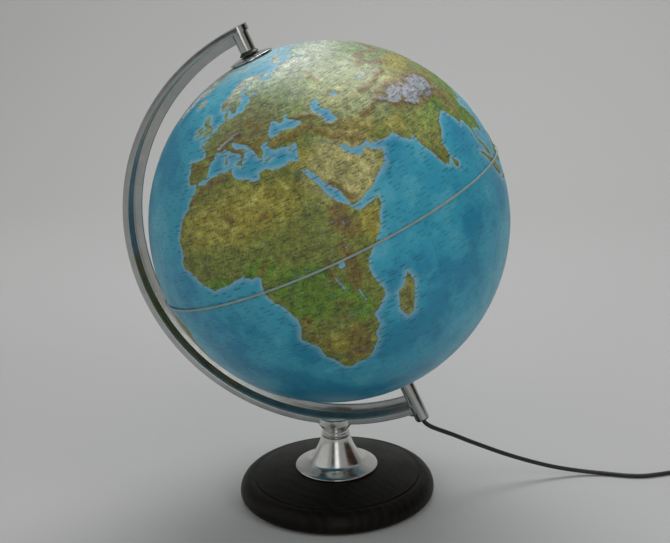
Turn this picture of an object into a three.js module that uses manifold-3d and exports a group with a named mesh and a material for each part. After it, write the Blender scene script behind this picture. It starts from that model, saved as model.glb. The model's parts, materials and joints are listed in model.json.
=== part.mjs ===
// Illuminated desktop globe on a turned stand. Millimetres, +Z up, origin at the middle of the underside.
// +X points to the open side of the meridian arm, +Y to its back. The globe's axis lies in the XZ plane.
import * as THREE from "three";
import { mergeVertices } from "three/addons/utils/BufferGeometryUtils.js";
import Module from "manifold-3d";

const wasm = await Module();
wasm.setup();

// ---------- driving dimensions ----------
const gap = 0.3; // between pieces that touch
const tilt = THREE.MathUtils.degToRad(23.5); // lean of the globe's axis towards -X

// globe
const globeRadius = 150;
const shellWall = 2;
const seamBandWidth = 1.8;
const seamBandProud = 0.6;
const seamRingWall = 2.2;
const seamRingHeight = 10;

// meridian arm: an angle section, a broad outer flange with a thin web along its back edge
const armClearance = 16.3; // from the globe's radius to the radius of the web's inner edge
const armShift = 5; // the arm's centre stands this far from the globe's, towards +X
const flangeThickness = 5.5;
const flangeWidth = 17;
const webDepth = 7.7;
const webThickness = 3;
const armEdgeRound = 0.9;
const southEndSetback = 4; // the arm stops this far short of the lamp tube's axis

// north pivot
const bossRadius = 6.7;
const pinRadius = 2.5;
const pinLength = 27;
const poleDiscRadius = 18.4;
const poleDiscRise = 2.4;
const poleDiscEdge = 1.1;
const collarFlare = 1.3; // how much wider the collar's foot is than the boss
const collarHeight = 2.8;
const hubRadius = 9;
const hubHeight = 8;

// south lamp tube
const tubeRadius = 6.3;
const tubeWall = 1.4;
const tubeInside = 22; // reach of the tube into the globe, measured from the globe's surface
const tubeOutside = 40; // reach of the tube out of the globe
const socketWall = 2.6;
const socketOverhang = 2;
const bearingWall = 2.8;
const bearingFlange = 3.9; // how far the flange reaches past the hole in the shell
const bearingFlangeHeight = 3;
const stopWall = 2;
const stopHeight = 2.7;

// lamp
const holderRadius = 14;
const holderLength = 45;
const holderSeat = 6; // depth of the holder's hole for the tube
const capRadius = 7.2;
const capLength = 27;
const bulbRadius = 22.5;
const bulbWall = 1;

// stand
const feltThickness = 1.2;
const feltInset = 8; // from the widest part of the base
const baseRadius = 85;
const baseHeight = 25;
const baseFootInset = 5;
const baseDomeInset = 13;
const baseDomeDrop = 6.2;
const footRadius = 35.8;
const footTopRadius = 12.7;
const footHeight = 29.2;
const footEdge = 2.2;
const stemRadius = 22.5; // of the sweeping stem where it leaves the flange
const stemRise = 7.5;
const neckRadius = 11.8;
const neckHeight = 6.2;
const saddleBottomRadius = 11.4;
const saddleTopRadius = 15.3;
const saddleFloor = 5.3; // thickness under the arm
const saddleCheek = 6.4; // height of the cheeks beside the arm
const boltRadius = 4;
const boltHeadRadius = 6.5;
const boltHeadHeight = 5;
const washerRadius = 9.5;
const washerThickness = 1.6;
const counterboreDepth = 9;
const grubRadius = 2;
const grubLength = 5;

// cord and what is on it
const cordRadius = 1.9;
const glandLength = 10;
const glandLipReach = 0.7; // how far the lip covers the tube's end
const glandLip = 0.8;
const switchStart = [330, 63, 7];
const switchLength = 60;
const switchWidth = 26;
const switchBaseHeight = 7;
const switchCoverHeight = 9;
const rockerLength = 15;
const rockerWidth = 9;
const rockerHeight = 6;
const rockerThrow = 8; // degrees that the rocker leans each way
const switchScrewRadius = 2.2;
const switchScrewInset = 11; // from the end of the switch
const coilTurns = 3; // turns side by side in a full layer
const coilLayers = 3; // full layers; one more turn lies on top
const coilMidRadius = 21;
const coilPitch = 3.95;
const coilFromSwitch = 31; // from the switch's end to the middle of the coil
const tieWidth = 7;
const tieThickness = 1;
const plugLength = 36;
const plugWidth = 35;
const plugHeight = 13.6;
const plugReliefLength = 22;
const plugPinRadius = 2;
const plugPinLength = 19;
const plugPinSpacing = 18.6;

// ---------- heights of the stack, and places along the globe's axis ----------
const baseBottom = feltThickness + gap;
const baseTop = baseBottom + baseHeight;
const footBottom = baseTop + gap;
const footTop = footBottom + footHeight;
const neckBottom = footTop + gap;
const neckTop = neckBottom + neckHeight;
const saddleBottom = neckTop + gap;
const saddleSeat = saddleBottom + saddleFloor;
const armBottom = saddleSeat + gap;
const webInnerRadius = globeRadius + armClearance;
const flangeInnerRadius = webInnerRadius + webDepth;
const armOuterRadius = flangeInnerRadius + flangeThickness;
const globeHeight = armBottom + armOuterRadius;

// the arm's centre in the axis frame: Z is the globe's axis (north up) and X the arm's open side
const armCentre = new THREE.Vector3(armShift * Math.cos(tilt), 0, -armShift * Math.sin(tilt));
// where a circle of the arm crosses the globe's axis, on the north (+1) or south (-1) side
function axisCrossing(radius, side) {
  return armCentre.z + side * Math.sqrt(radius ** 2 - armCentre.x ** 2);
}

const discUnderside = globeRadius + gap;
const discTop = discUnderside + poleDiscRise;
const collarRadius = bossRadius + collarFlare;
const collarBottom = discTop + gap;
const collarTop = collarBottom + collarHeight;
const bossBottom = collarTop + gap;
const tubeInnerEnd = -(globeRadius - tubeInside);
const tubeOuterEnd = -(globeRadius + tubeOutside);
const boreRadius = pinRadius + gap;
const tubeHole = tubeRadius + gap;
const tubeBore = tubeRadius - tubeWall;

// ---------- geometry helpers ----------
function clean(geometry) {
  geometry.deleteAttribute("normal");
  geometry.deleteAttribute("uv");
  return mergeVertices(geometry, 1e-4);
}

function solidOf(geometry) {
  const merged = clean(geometry);
  return new wasm.Manifold(
    new wasm.Mesh({
      numProp: 3,
      vertProperties: merged.attributes.position.array,
      triVerts: new Uint32Array(merged.index.array),
    }),
  );
}

function geometryOf(solid) {
  const mesh = solid.getMesh();
  const geometry = new THREE.BufferGeometry();
  geometry.setAttribute("position", new THREE.BufferAttribute(mesh.vertProperties, 3));
  geometry.setIndex(new THREE.BufferAttribute(mesh.triVerts, 1));
  geometry.computeVertexNormals();
  return geometry;
}

function cut(geometry, ...cutters) {
  return geometryOf(cutters.reduce((body, cutter) => body.subtract(solidOf(cutter)), solidOf(geometry)));
}

function join(...geometries) {
  return geometryOf(geometries.map(solidOf).reduce((body, next) => body.add(next)));
}

function common(a, b) {
  return geometryOf(solidOf(a).intersect(solidOf(b)));
}

// a solid of revolution about Z, from [radius, z] points that run anticlockwise with radius to the right
function turned(points, segments = 28) {
  const outline = points.map(([r, z]) => new THREE.Vector2(r, z));
  return new THREE.LatheGeometry(outline, segments).rotateX(Math.PI / 2);
}

function disc(radius, low, high, segments = 28) {
  return turned([[0, low], [radius, low], [radius, high], [0, high]], segments);
}

function ring(inner, outer, low, high, segments = 28) {
  return turned([[inner, low], [outer, low], [outer, high], [inner, high], [inner, low]], segments);
}

function block(low, high) {
  const size = high.map((v, i) => v - low[i]);
  const middle = high.map((v, i) => (v + low[i]) / 2);
  return new THREE.BoxGeometry(...size).translate(...middle);
}

// points of an arc of the given radius about [r, z], from one angle to another in degrees
function arc(r, z, radius, from, to, steps) {
  return Array.from({ length: steps + 1 }, (_, i) => {
    const angle = THREE.MathUtils.degToRad(from + ((to - from) * i) / steps);
    return [r + radius * Math.cos(angle), z + radius * Math.sin(angle)];
  });
}

// a flat slab from Z = 0 up, of an outline of [x, y] points, with holes
function slab(outline, depth, ...holes) {
  const points = (list) => list.map(([x, y]) => new THREE.Vector2(x, y));
  const shape = new THREE.Shape(points(outline));
  holes.forEach((hole) => shape.holes.push(new THREE.Path(points(hole))));
  return new THREE.ExtrudeGeometry(shape, { depth, bevelEnabled: false });
}

// a flat plate with round corners, lying in XY
function roundedPlate(length, width, corner, low, high) {
  const [x, y] = [length / 2 - corner, width / 2 - corner];
  const outline = [
    ...arc(x, y, corner, 0, 90, 5),
    ...arc(-x, y, corner, 90, 180, 5),
    ...arc(-x, -y, corner, 180, 270, 5),
    ...arc(x, -y, corner, 270, 360, 5),
  ];
  return slab(outline, high - low).translate(0, 0, low);
}

// a round bar along a list of points
function rod(points, radius, steps, sides = 8) {
  const places = points.map((p) => new THREE.Vector3(...p));
  const curve = new THREE.CatmullRomCurve3(places, false, "centripetal");
  const section = new THREE.Shape(
    Array.from({ length: sides }, (_, i) => {
      const angle = (2 * Math.PI * i) / sides;
      return new THREE.Vector2(radius * Math.cos(angle), radius * Math.sin(angle));
    }),
  );
  return new THREE.ExtrudeGeometry(section, { steps, extrudePath: curve, bevelEnabled: false });
}

// ---------- scene graph ----------
const finishes = {
  chrome: { color: 0xc9cac6, roughness: 0.16, metalness: 1 },
  steel: { color: 0x9a9b99, roughness: 0.35, metalness: 1 },
  wood: { color: 0x2a1f1a, roughness: 0.38, metalness: 0 },
  felt: { color: 0x1f3325, roughness: 0.95, metalness: 0 },
  globe: { color: 0x3f8fb4, roughness: 0.5, metalness: 0 },
  seam: { color: 0x9cc4cf, roughness: 0.5, metalness: 0 },
  darkPlastic: { color: 0x24241d, roughness: 0.5, metalness: 0 },
  whitePlastic: { color: 0xd8d5ca, roughness: 0.45, metalness: 0 },
  brass: { color: 0xb39a5e, roughness: 0.35, metalness: 1 },
  frosted: { color: 0xf1f0ea, roughness: 0.35, metalness: 0 },
  cord: { color: 0x121212, roughness: 0.5, metalness: 0 },
};

const globeOnStand = new THREE.Group();
const axisFrame = new THREE.Group();
axisFrame.position.set(0, 0, globeHeight);
axisFrame.rotation.y = -tilt;
axisFrame.updateMatrix();
globeOnStand.add(axisFrame);

function piece(parent, name, geometry, finish) {
  const mesh = new THREE.Mesh(geometry, new THREE.MeshStandardMaterial(finishes[finish]));
  mesh.name = name;
  parent.add(mesh);
  return mesh;
}

// ---------- globe: two moulded half shells, joined over an inner ring ----------
const shellSegments = 40;
const southHoleRadius = tubeRadius + bearingWall;
const northHoleRadius = boreRadius + 1.9;

// half shell from the equator to the hole at its pole
function halfShell(holeRadius) {
  const inner = globeRadius - shellWall;
  const holeOuter = THREE.MathUtils.radToDeg(Math.acos(holeRadius / globeRadius));
  const holeInner = THREE.MathUtils.radToDeg(Math.acos(holeRadius / inner));
  const equator = THREE.MathUtils.radToDeg(Math.asin(gap / 2 / globeRadius));
  const outside = arc(0, 0, globeRadius, equator, holeOuter, 9);
  const inside = arc(0, 0, inner, holeInner, equator, 8);
  return turned([...outside, ...inside, outside[0]], shellSegments);
}

piece(axisFrame, "northern_hemisphere", halfShell(northHoleRadius), "globe");
piece(axisFrame, "southern_hemisphere", halfShell(southHoleRadius).rotateX(Math.PI), "globe");

const seamInner = globeRadius + gap;
const seamOuter = globeRadius + gap + seamBandProud;
const seamHalf = seamBandWidth / 2;
piece(axisFrame, "equator_band", ring(seamInner, seamOuter, -seamHalf, seamHalf, shellSegments), "seam");

const joinOuter = globeRadius - shellWall - 3 * gap;
const joinInner = joinOuter - seamRingWall;
const joinHalf = seamRingHeight / 2;
const jointRing = ring(joinInner, joinOuter, -joinHalf, joinHalf, shellSegments);
piece(axisFrame, "equator_joint_ring", jointRing, "whitePlastic");

// ---------- north pole: hub and chrome disc on the globe, collar and pin on the arm ----------
const hubTop = globeRadius - shellWall - 3 * gap;
const hubBottom = hubTop - hubHeight;
const hubNeckRadius = northHoleRadius - gap;
const northHub = turned([
  [boreRadius, hubBottom],
  [hubRadius, hubBottom],
  [hubRadius, hubTop],
  [hubNeckRadius, hubTop],
  [hubNeckRadius, globeRadius - gap],
  [boreRadius, globeRadius - gap],
  [boreRadius, hubBottom],
]);
piece(axisFrame, "north_hub", northHub, "whitePlastic");

const discSeatRadius = globeRadius + gap;
function seatHeight(r) {
  return Math.sqrt(discSeatRadius ** 2 - r ** 2);
}
const discRadii = [0, 0.33, 0.65, 1].map((share) => {
  return THREE.MathUtils.lerp(boreRadius, poleDiscRadius, share);
});
const discBelow = discRadii.map((r) => [r, seatHeight(r)]);
const discAbove = discRadii.map((r) => {
  const share = (r - boreRadius) / (poleDiscRadius - boreRadius);
  return [r, seatHeight(r) + THREE.MathUtils.lerp(poleDiscRise, poleDiscEdge, share ** 2)];
});
piece(axisFrame, "pole_disc", turned([...discBelow, ...discAbove.reverse(), discBelow[0]], 36), "chrome");

const northCollar = turned([
  [boreRadius, collarBottom],
  [collarRadius, collarBottom],
  [collarRadius, collarBottom + 0.4 * collarHeight],
  [bossRadius - 0.4, collarTop],
  [boreRadius, collarTop],
  [boreRadius, collarBottom],
]);
piece(axisFrame, "north_collar", northCollar, "darkPlastic");

const pinBottom = hubBottom + 1;
const pinTop = pinBottom + pinLength;
piece(axisFrame, "north_pivot_pin", disc(pinRadius, pinBottom, pinTop, 24), "steel");

// ---------- meridian arm ----------
const armSegments = 72;
const half = flangeWidth / 2;

// a ring about the arm's centre, from a closed outline of [radius, y] points; placed in the axis frame
function armRing(outline) {
  const points = outline.map(([r, y]) => new THREE.Vector2(r, y));
  return new THREE.LatheGeometry(points, armSegments).translate(armCentre.x, 0, armCentre.z);
}

// the flange's outline, with its front and back outer edges rounded; grown all round by a clearance
function flangeOutline(inner, outer, halfWidth) {
  const e = armEdgeRound;
  return [
    [inner, -halfWidth],
    ...arc(outer - e, -halfWidth + e, e, -90, 0, 3),
    ...arc(outer - e, halfWidth - e, e, 0, 90, 3),
    [inner, halfWidth],
  ];
}

const angleOutline = [
  ...flangeOutline(flangeInnerRadius, armOuterRadius, half).slice(0, -1),
  [webInnerRadius, half],
  [webInnerRadius, half - webThickness],
  [flangeInnerRadius, half - webThickness],
  [flangeInnerRadius, -half],
];
const flangeClosed = flangeOutline(flangeInnerRadius, armOuterRadius, half);
flangeClosed.push(flangeClosed[0]);

const far = 2 * armOuterRadius;
const northBoss = disc(bossRadius, bossBottom, axisCrossing(armOuterRadius - flangeThickness / 2, 1));
const northEnd = common(armRing(flangeClosed), disc(half, 0, far, 48));
const southEndTop = axisCrossing(flangeInnerRadius, -1);
const southEndBottom = axisCrossing(armOuterRadius, -1) - socketOverhang;
const southSocket = disc(tubeHole + socketWall, southEndBottom, southEndTop, 48);
const armHalf = cut(armRing(angleOutline), block([0, -far, -far], [far, far, far]));
const pinSeat = disc(boreRadius, 0, pinTop + gap, 24);
const tubeSeat = disc(tubeHole, -far, 0, 48);
const openSide = block([-southEndSetback, -far, -far], [far, far, 0]);
const arm = cut(join(armHalf, northEnd, northBoss, southSocket), openSide, tubeSeat, pinSeat);
piece(axisFrame, "meridian_arm", arm, "chrome");

// ---------- south pole: lamp tube on the arm, bearing on the globe ----------
piece(axisFrame, "lamp_tube", ring(tubeBore, tubeRadius, tubeOuterEnd, tubeInnerEnd), "chrome");

const bearingFlangeRadius = southHoleRadius + bearingFlange;
const bearingSeat = 2 * gap - Math.sqrt((globeRadius - shellWall) ** 2 - bearingFlangeRadius ** 2);
const southBearing = turned([
  [tubeHole, -globeRadius - 3 * gap],
  [southHoleRadius - gap, -globeRadius - 3 * gap],
  [southHoleRadius - gap, bearingSeat],
  [bearingFlangeRadius, bearingSeat],
  [bearingFlangeRadius, bearingSeat + bearingFlangeHeight],
  [tubeHole, bearingSeat + bearingFlangeHeight],
  [tubeHole, -globeRadius - 3 * gap],
]);
piece(axisFrame, "south_bearing", southBearing, "whitePlastic");

const stopTop = -globeRadius - 4 * gap;
const stopCollar = ring(tubeHole, tubeHole + stopWall, stopTop - stopHeight, stopTop);
piece(axisFrame, "tube_stop_collar", stopCollar, "chrome");

const glandBottom = tubeOuterEnd - gap;
const glandBore = cordRadius + gap;
const cordGland = turned([
  [glandBore, glandBottom - glandLip],
  [tubeBore + glandLipReach, glandBottom - glandLip],
  [tubeBore + glandLipReach, glandBottom],
  [tubeBore - gap, glandBottom],
  [tubeBore - gap, glandBottom + glandLength],
  [glandBore, glandBottom + glandLength],
  [glandBore, glandBottom - glandLip],
]);
piece(axisFrame, "cord_gland", cordGland, "cord");

// ---------- lamp inside the globe ----------
const holderBottom = tubeInnerEnd - holderSeat;
const holderTop = holderBottom + holderLength;
const socketBore = capRadius + 2 * gap;
const socketBottom = holderTop - capLength - 2 * gap;
const lampHolder = turned([
  [tubeHole, holderBottom],
  [holderRadius - 3, holderBottom],
  [holderRadius, holderBottom + 6],
  [holderRadius, holderTop],
  [socketBore, holderTop],
  [socketBore, socketBottom],
  [cordRadius + 1, socketBottom],
  [cordRadius + 1, tubeInnerEnd + gap],
  [tubeHole, tubeInnerEnd + gap],
  [tubeHole, holderBottom],
]);
piece(axisFrame, "lamp_holder", lampHolder, "darkPlastic");

const capBottom = socketBottom + gap;
const capTop = capBottom + capLength;
const bulbCap = turned([
  [0, capBottom],
  [capRadius - 4.4, capBottom],
  [capRadius, capBottom + 3],
  [capRadius, capTop],
  [0, capTop],
]);
piece(axisFrame, "bulb_cap", bulbCap, "brass");

const bulbBottom = capTop + gap;
const bulbCentre = bulbBottom + 1.5 * bulbRadius;
function bulbSide(wall) {
  const r = bulbRadius - wall;
  const neck = [[capRadius - wall, bulbBottom], [capRadius + 1 - wall, bulbBottom + 5]];
  return [...neck, ...arc(0, bulbCentre, r, -50, 90, 8)];
}
const bulbOutline = [...bulbSide(0), ...bulbSide(bulbWall).reverse(), [capRadius, bulbBottom]];
piece(axisFrame, "bulb_glass", turned(bulbOutline, 16), "frosted");

// ---------- stand ----------
piece(globeOnStand, "base_felt", disc(baseRadius - feltInset, 0, feltThickness, 48), "felt");

const baseDomeRadius = baseRadius - baseDomeInset;
const counterboreRadius = washerRadius + 1;
const boltHole = boltRadius + gap;
const counterboreTop = baseBottom + counterboreDepth;
const domeEdge = baseTop - baseDomeDrop;
const beadHeight = domeEdge - 0.8 - baseBottom;
const beadMiddle = baseBottom + 0.3 * beadHeight;
const beadTop = baseBottom + beadHeight;
// the bead: a quarter ellipse down from its top to the widest ring, and a smaller one in to the underside
function beadPoint(degrees) {
  const angle = THREE.MathUtils.degToRad(degrees);
  const above = degrees > 0;
  const inset = above ? baseDomeInset - 1.4 : baseFootInset;
  const drop = above ? beadTop - beadMiddle : beadMiddle - baseBottom;
  return [baseRadius - inset + inset * Math.cos(angle), beadMiddle + drop * Math.sin(angle)];
}
// the domed top falls as a flat curve from the foot to the dome's edge
function domePoint(share) {
  const r = THREE.MathUtils.lerp(baseDomeRadius, footRadius + 1, share);
  return [r, baseTop - baseDomeDrop * (1 - share) ** 1.35];
}
const woodenBase = turned(
  [
    [counterboreRadius, baseBottom],
    ...[-90, -60, -30, 0, 20, 40, 60, 78, 90].map(beadPoint),
    [baseDomeRadius + 0.7, beadTop - 0.9],
    [baseDomeRadius, beadTop],
    ...[0, 0.2, 0.4, 0.6, 0.8, 1].map(domePoint),
    [boltHole, baseTop],
    [boltHole, counterboreTop],
    [counterboreRadius, counterboreTop],
    [counterboreRadius, baseBottom],
  ],
  40,
);
piece(globeOnStand, "wooden_base", woodenBase, "wood");

// trumpet foot: a flat flange that sweeps up into a narrowing stem
const stemBottom = footBottom + stemRise;
function stemPoint(share) {
  const r = THREE.MathUtils.lerp(footTopRadius, stemRadius, share ** 1.5);
  return [r, THREE.MathUtils.lerp(footTop, stemBottom, share)];
}
const trumpetFoot = turned(
  [
    [boltHole, footBottom],
    [footRadius - 0.6, footBottom],
    [footRadius, footBottom + 0.6],
    [footRadius, footBottom + footEdge - 0.6],
    [footRadius - 0.8, footBottom + footEdge],
    [(footRadius + stemRadius) / 2 + 1, footBottom + footEdge + 1.6],
    [stemRadius + 2.4, footBottom + footEdge + 3.2],
    ...[1, 0.75, 0.5, 0.25, 0].map(stemPoint),
    [boltHole, footTop],
    [boltHole, footBottom],
  ],
  36,
);
piece(globeOnStand, "trumpet_foot", trumpetFoot, "chrome");

const grooveDepth = 0.9;
const neckRing = turned([
  [boltHole, neckBottom],
  [neckRadius - 0.5, neckBottom],
  [neckRadius - 0.5, neckBottom + 1],
  [neckRadius, neckBottom + 1.6],
  [neckRadius, neckBottom + 0.5 * neckHeight],
  [neckRadius - grooveDepth, neckBottom + 0.6 * neckHeight],
  [neckRadius - grooveDepth, neckTop - 0.8],
  [neckRadius - 0.4, neckTop],
  [boltHole, neckTop],
  [boltHole, neckBottom],
]);
piece(globeOnStand, "neck_ring", neckRing, "chrome");

// saddle: a flared cup with a slot that the arm's flange drops into
const saddleTop = saddleSeat + saddleCheek;
const grubHeight = saddleSeat + 0.4 * flangeThickness;
const saddleCup = turned([
  [0, saddleBottom],
  [saddleBottomRadius, saddleBottom],
  [saddleTopRadius - 0.6, saddleBottom + 0.8 * saddleFloor],
  [saddleTopRadius, saddleSeat],
  [saddleTopRadius, saddleTop - 1],
  [saddleTopRadius - 1, saddleTop],
  [0, saddleTop],
]);
const slotOutline = flangeOutline(webInnerRadius, armOuterRadius + gap, half + gap);
slotOutline.push(slotOutline[0]);
const slot = armRing(slotOutline).applyMatrix4(axisFrame.matrix);
const grubHole = disc(grubRadius + gap, 0, 2 * saddleTopRadius, 20);
grubHole.rotateX(Math.PI / 2).translate(0, 0, grubHeight);
const boltSocket = disc(boltHole, saddleBottom - 1, saddleSeat - 0.8, 24);
piece(globeOnStand, "arm_saddle", cut(saddleCup, slot, grubHole, boltSocket), "chrome");

const hexDepth = 2.2;
const hexSocket = disc(grubRadius / 2, grubLength - hexDepth, grubLength + 1, 6);
const grubScrew = cut(disc(grubRadius, 0, grubLength, 20), hexSocket);
grubScrew.rotateX(Math.PI / 2).translate(0, -half - 2 * gap, grubHeight);
piece(globeOnStand, "saddle_grub_screw", grubScrew, "steel");

// tie bolt up through the base, foot and neck ring into the saddle
const washerTop = counterboreTop - gap;
const washerBottom = washerTop - washerThickness;
piece(globeOnStand, "bolt_washer", ring(boltHole, washerRadius, washerBottom, washerTop, 28), "steel");

const boltHeadTop = washerBottom - gap;
const boltShank = disc(boltRadius, boltHeadTop - 1, saddleSeat - 0.8 - gap, 24);
const boltHead = disc(boltHeadRadius, boltHeadTop - boltHeadHeight, boltHeadTop, 6);
piece(globeOnStand, "tie_bolt", join(boltShank, boltHead), "steel");

// ---------- switch on the cord ----------
const [switchX, switchY, cordInZ] = switchStart;
const switchEndX = switchX + switchLength;
const switchMiddleX = switchX + switchLength / 2;
const rockerAxisZ = switchBaseHeight + gap + 4;
const coverBottom = switchBaseHeight + gap;
const coverTop = coverBottom + switchCoverHeight;

function atSwitch(geometry) {
  return geometry.translate(switchMiddleX, switchY, 0);
}
const switchCorner = 8;
const entry = cordRadius + gap;
const entryDepth = 6;
const cordEntries = [-1, 1].map((side) => {
  const hole = disc(entry, 0, entryDepth, 16).rotateY(Math.PI / 2);
  return hole.translate(side > 0 ? switchLength / 2 - entryDepth + 1 : -switchLength / 2 - 1, 0, cordInZ);
});
const screwPlaces = [-1, 1].map((side) => side * (switchLength / 2 - switchScrewInset));
const screwShank = 1.4;
const screwHead = 1.6;
const screwReach = 4; // how far a switch screw goes into the base
const screwHoles = screwPlaces.map((x) => {
  return disc(screwShank + gap, coverBottom - screwReach - gap, coverTop + 1, 16).translate(x, 0, 0);
});
const screwRecesses = screwPlaces.map((x) => {
  return disc(switchScrewRadius + gap, coverTop - screwHead - gap, coverTop + 1, 20).translate(x, 0, 0);
});
const pocketHalf = switchLength / 2 - 17;
const pocketHalfWidth = switchWidth / 2 - 4;
const basePocket = block([-pocketHalf, -pocketHalfWidth, 2], [pocketHalf, pocketHalfWidth, coverTop]);
const switchPlate = roundedPlate(switchLength, switchWidth, switchCorner, 0, switchBaseHeight);
const switchBase = cut(switchPlate, basePocket, ...cordEntries, ...screwHoles);
piece(globeOnStand, "switch_base", atSwitch(switchBase), "cord");

// the rocker swings about a cross axis, and its corners set the size of the opening in the cover
const rockerSwing = THREE.MathUtils.degToRad(rockerThrow);
const rockerBelow = 1.2;
const rockerReach = (rockerLength / 2) * Math.cos(rockerSwing) + rockerHeight * Math.sin(rockerSwing);
const openingHalf = rockerReach + 2 * gap;
const opening = block(
  [-openingHalf, -rockerWidth / 2 - gap, coverBottom - 1],
  [openingHalf, rockerWidth / 2 + gap, coverTop + 1],
);
const coverPlate = roundedPlate(switchLength, switchWidth, switchCorner, coverBottom, coverTop);
const cover = cut(coverPlate, opening, ...cordEntries, ...screwHoles, ...screwRecesses);
piece(globeOnStand, "switch_cover", atSwitch(cover), "cord");

const rockerOutline = [
  [-rockerLength / 2, -rockerBelow],
  [rockerLength / 2, -rockerBelow],
  [rockerLength / 2, rockerHeight],
  [0, rockerHeight - 1.4],
  [-rockerLength / 2, rockerHeight],
];
const rocker = slab(rockerOutline, rockerWidth);
rocker.rotateX(Math.PI / 2).translate(0, rockerWidth / 2, 0);
rocker.rotateY(-rockerSwing).translate(0, 0, rockerAxisZ);
piece(globeOnStand, "switch_rocker", atSwitch(rocker), "whitePlastic");

screwPlaces.forEach((x, i) => {
  const shank = disc(screwShank, coverBottom - screwReach, coverTop - screwHead + 0.5, 16);
  const head = disc(switchScrewRadius, coverTop - screwHead, coverTop - 0.2, 20);
  piece(globeOnStand, `switch_screw_${i + 1}`, atSwitch(join(shank, head).translate(x, 0, 0)), "steel");
});

// ---------- cord ----------
// the coil: its first turn lies outermost on the surface, where the cord from the switch runs onto it
const coilLift = tieThickness + gap; // the tie passes under it
const coilOuterTurn = coilMidRadius + ((coilTurns - 1) / 2) * coilPitch;
const coilCentreX = switchEndX + coilFromSwitch;
const coilCentreY = switchY - coilOuterTurn;
const coilShoulder = coilLift + 2 * cordRadius + (coilLayers - 1) * coilPitch;
const coilTop = coilShoulder + coilPitch;
const strandEdge = cordRadius + 0.1;
const coilInnerEdge = 2 * coilMidRadius - coilOuterTurn - strandEdge;
const coilOuterEdge = coilOuterTurn + strandEdge;

// the outline of the coil's section, grown all round
function coilOutline(grow) {
  return [
    [coilInnerEdge - grow, coilLift - Math.min(grow, coilLift)],
    [coilOuterEdge + grow, coilLift - Math.min(grow, coilLift)],
    [coilOuterEdge + grow, coilShoulder + grow / 2],
    [coilMidRadius + strandEdge + grow / 2, coilTop + grow],
    [coilMidRadius - strandEdge - grow / 2, coilTop + grow],
    [coilInnerEdge - grow, coilShoulder + grow / 2],
  ];
}
const coilClosed = coilOutline(0);
coilClosed.push(coilClosed[0]);
piece(globeOnStand, "cord_coil", turned(coilClosed, 36).translate(coilCentreX, coilCentreY, 0), "cord");

const tieInside = coilOutline(0.8).map(([r, z]) => [r, Math.max(z, tieThickness)]);
const tie = slab(coilOutline(coilLift + 0.5), tieWidth, tieInside);
tie.rotateX(Math.PI / 2).translate(coilCentreX, coilCentreY + tieWidth / 2, 0);
piece(globeOnStand, "cord_tie", tie, "darkPlastic");

const inTube = new THREE.Vector3(0, 0, tubeOuterEnd + 6).applyMatrix4(axisFrame.matrix);
const tubeEnd = new THREE.Vector3(0, 0, tubeOuterEnd).applyMatrix4(axisFrame.matrix);
const cordLead = [
  inTube.toArray(),
  tubeEnd.toArray(),
  [77.6, 0.6, 69.6],
  [81.5, 2.2, 65.6],
  [87, 4.6, 62],
  [101, 11, 54],
  [114, 18, 45.5],
  [128, 26, 36.5],
  [145, 33.5, 27],
  [167, 40, 17.5],
  [190, 46, 9.5],
  [212, 50.5, 4.4],
  [233, 51.5, 2.2],
  [257, 49, cordRadius],
  [270, 50, cordRadius],
  [282, 54, cordRadius],
  [292, 58, cordRadius],
  [304, 61.5, cordRadius + 0.6],
  [317, 63, cordRadius + 3.2],
  [switchX - gap, switchY, cordInZ],
];
piece(globeOnStand, "cord_lead", rod(cordLead, cordRadius, 42), "cord");

// where a straight run beside the coil comes clear of it, measured back from the coil's middle
function clearOfCoil(innerSide) {
  return Math.sqrt((coilOuterEdge + 2 * gap) ** 2 - innerSide ** 2);
}
const firstTurnZ = coilLift + cordRadius;
const cordMiddle = [
  [switchEndX + gap, switchY, cordInZ],
  [switchEndX + 7, switchY, cordInZ - 1],
  [coilCentreX - clearOfCoil(coilOuterTurn - cordRadius), switchY, firstTurnZ],
];
piece(globeOnStand, "cord_middle", rod(cordMiddle, cordRadius, 4), "cord");

const lastTurnY = coilCentreY - coilMidRadius;
const lastTurnZ = coilTop - strandEdge;
const plugMiddleZ = plugHeight / 2;
const plugBackX = coilCentreX - 65;
const reliefBackX = plugBackX + plugReliefLength;
const cordEndX = coilCentreX - Math.sqrt((coilOuterEdge + gap + cordRadius) ** 2 - coilMidRadius ** 2);
const cordEnd = [
  [cordEndX, lastTurnY, lastTurnZ],
  [cordEndX - 4, lastTurnY, lastTurnZ - 0.9],
  [(cordEndX + reliefBackX) / 2, lastTurnY, (lastTurnZ + plugMiddleZ) / 2],
  [reliefBackX + 4, lastTurnY, plugMiddleZ + 0.6],
  [reliefBackX + gap, lastTurnY, plugMiddleZ],
];
piece(globeOnStand, "cord_end", rod(cordEnd, cordRadius, 8), "cord");

// ---------- plug: a flat two-pin body that narrows into its strain relief ----------
const plugBackHalf = 7;
const plugFrontX = plugBackX - plugLength;
const plugHalf = plugWidth / 2;
const plugOutline = [
  [plugFrontX, -plugHalf + 3],
  [plugFrontX + 2, -plugHalf],
  [plugFrontX + 0.4 * plugLength, -plugHalf],
  [plugBackX, -plugBackHalf],
  [plugBackX, plugBackHalf],
  [plugFrontX + 0.4 * plugLength, plugHalf],
  [plugFrontX + 2, plugHalf],
  [plugFrontX, plugHalf - 3],
];
const plugBlock = slab(plugOutline, plugHeight);
const reliefTip = cordRadius + 1;
const relief = turned([[0, 0], [5.4, 0], [reliefTip, plugReliefLength + 1], [0, plugReliefLength + 1]], 20);
relief.rotateY(Math.PI / 2).translate(plugBackX - 1, 0, plugMiddleZ);
const pinPlaces = [-plugPinSpacing / 2, plugPinSpacing / 2];
const pinDepth = 8;
function plugRod(radius, low, high, y) {
  return disc(radius, low, high, 16).rotateY(Math.PI / 2).translate(plugFrontX, y, plugMiddleZ);
}
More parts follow.
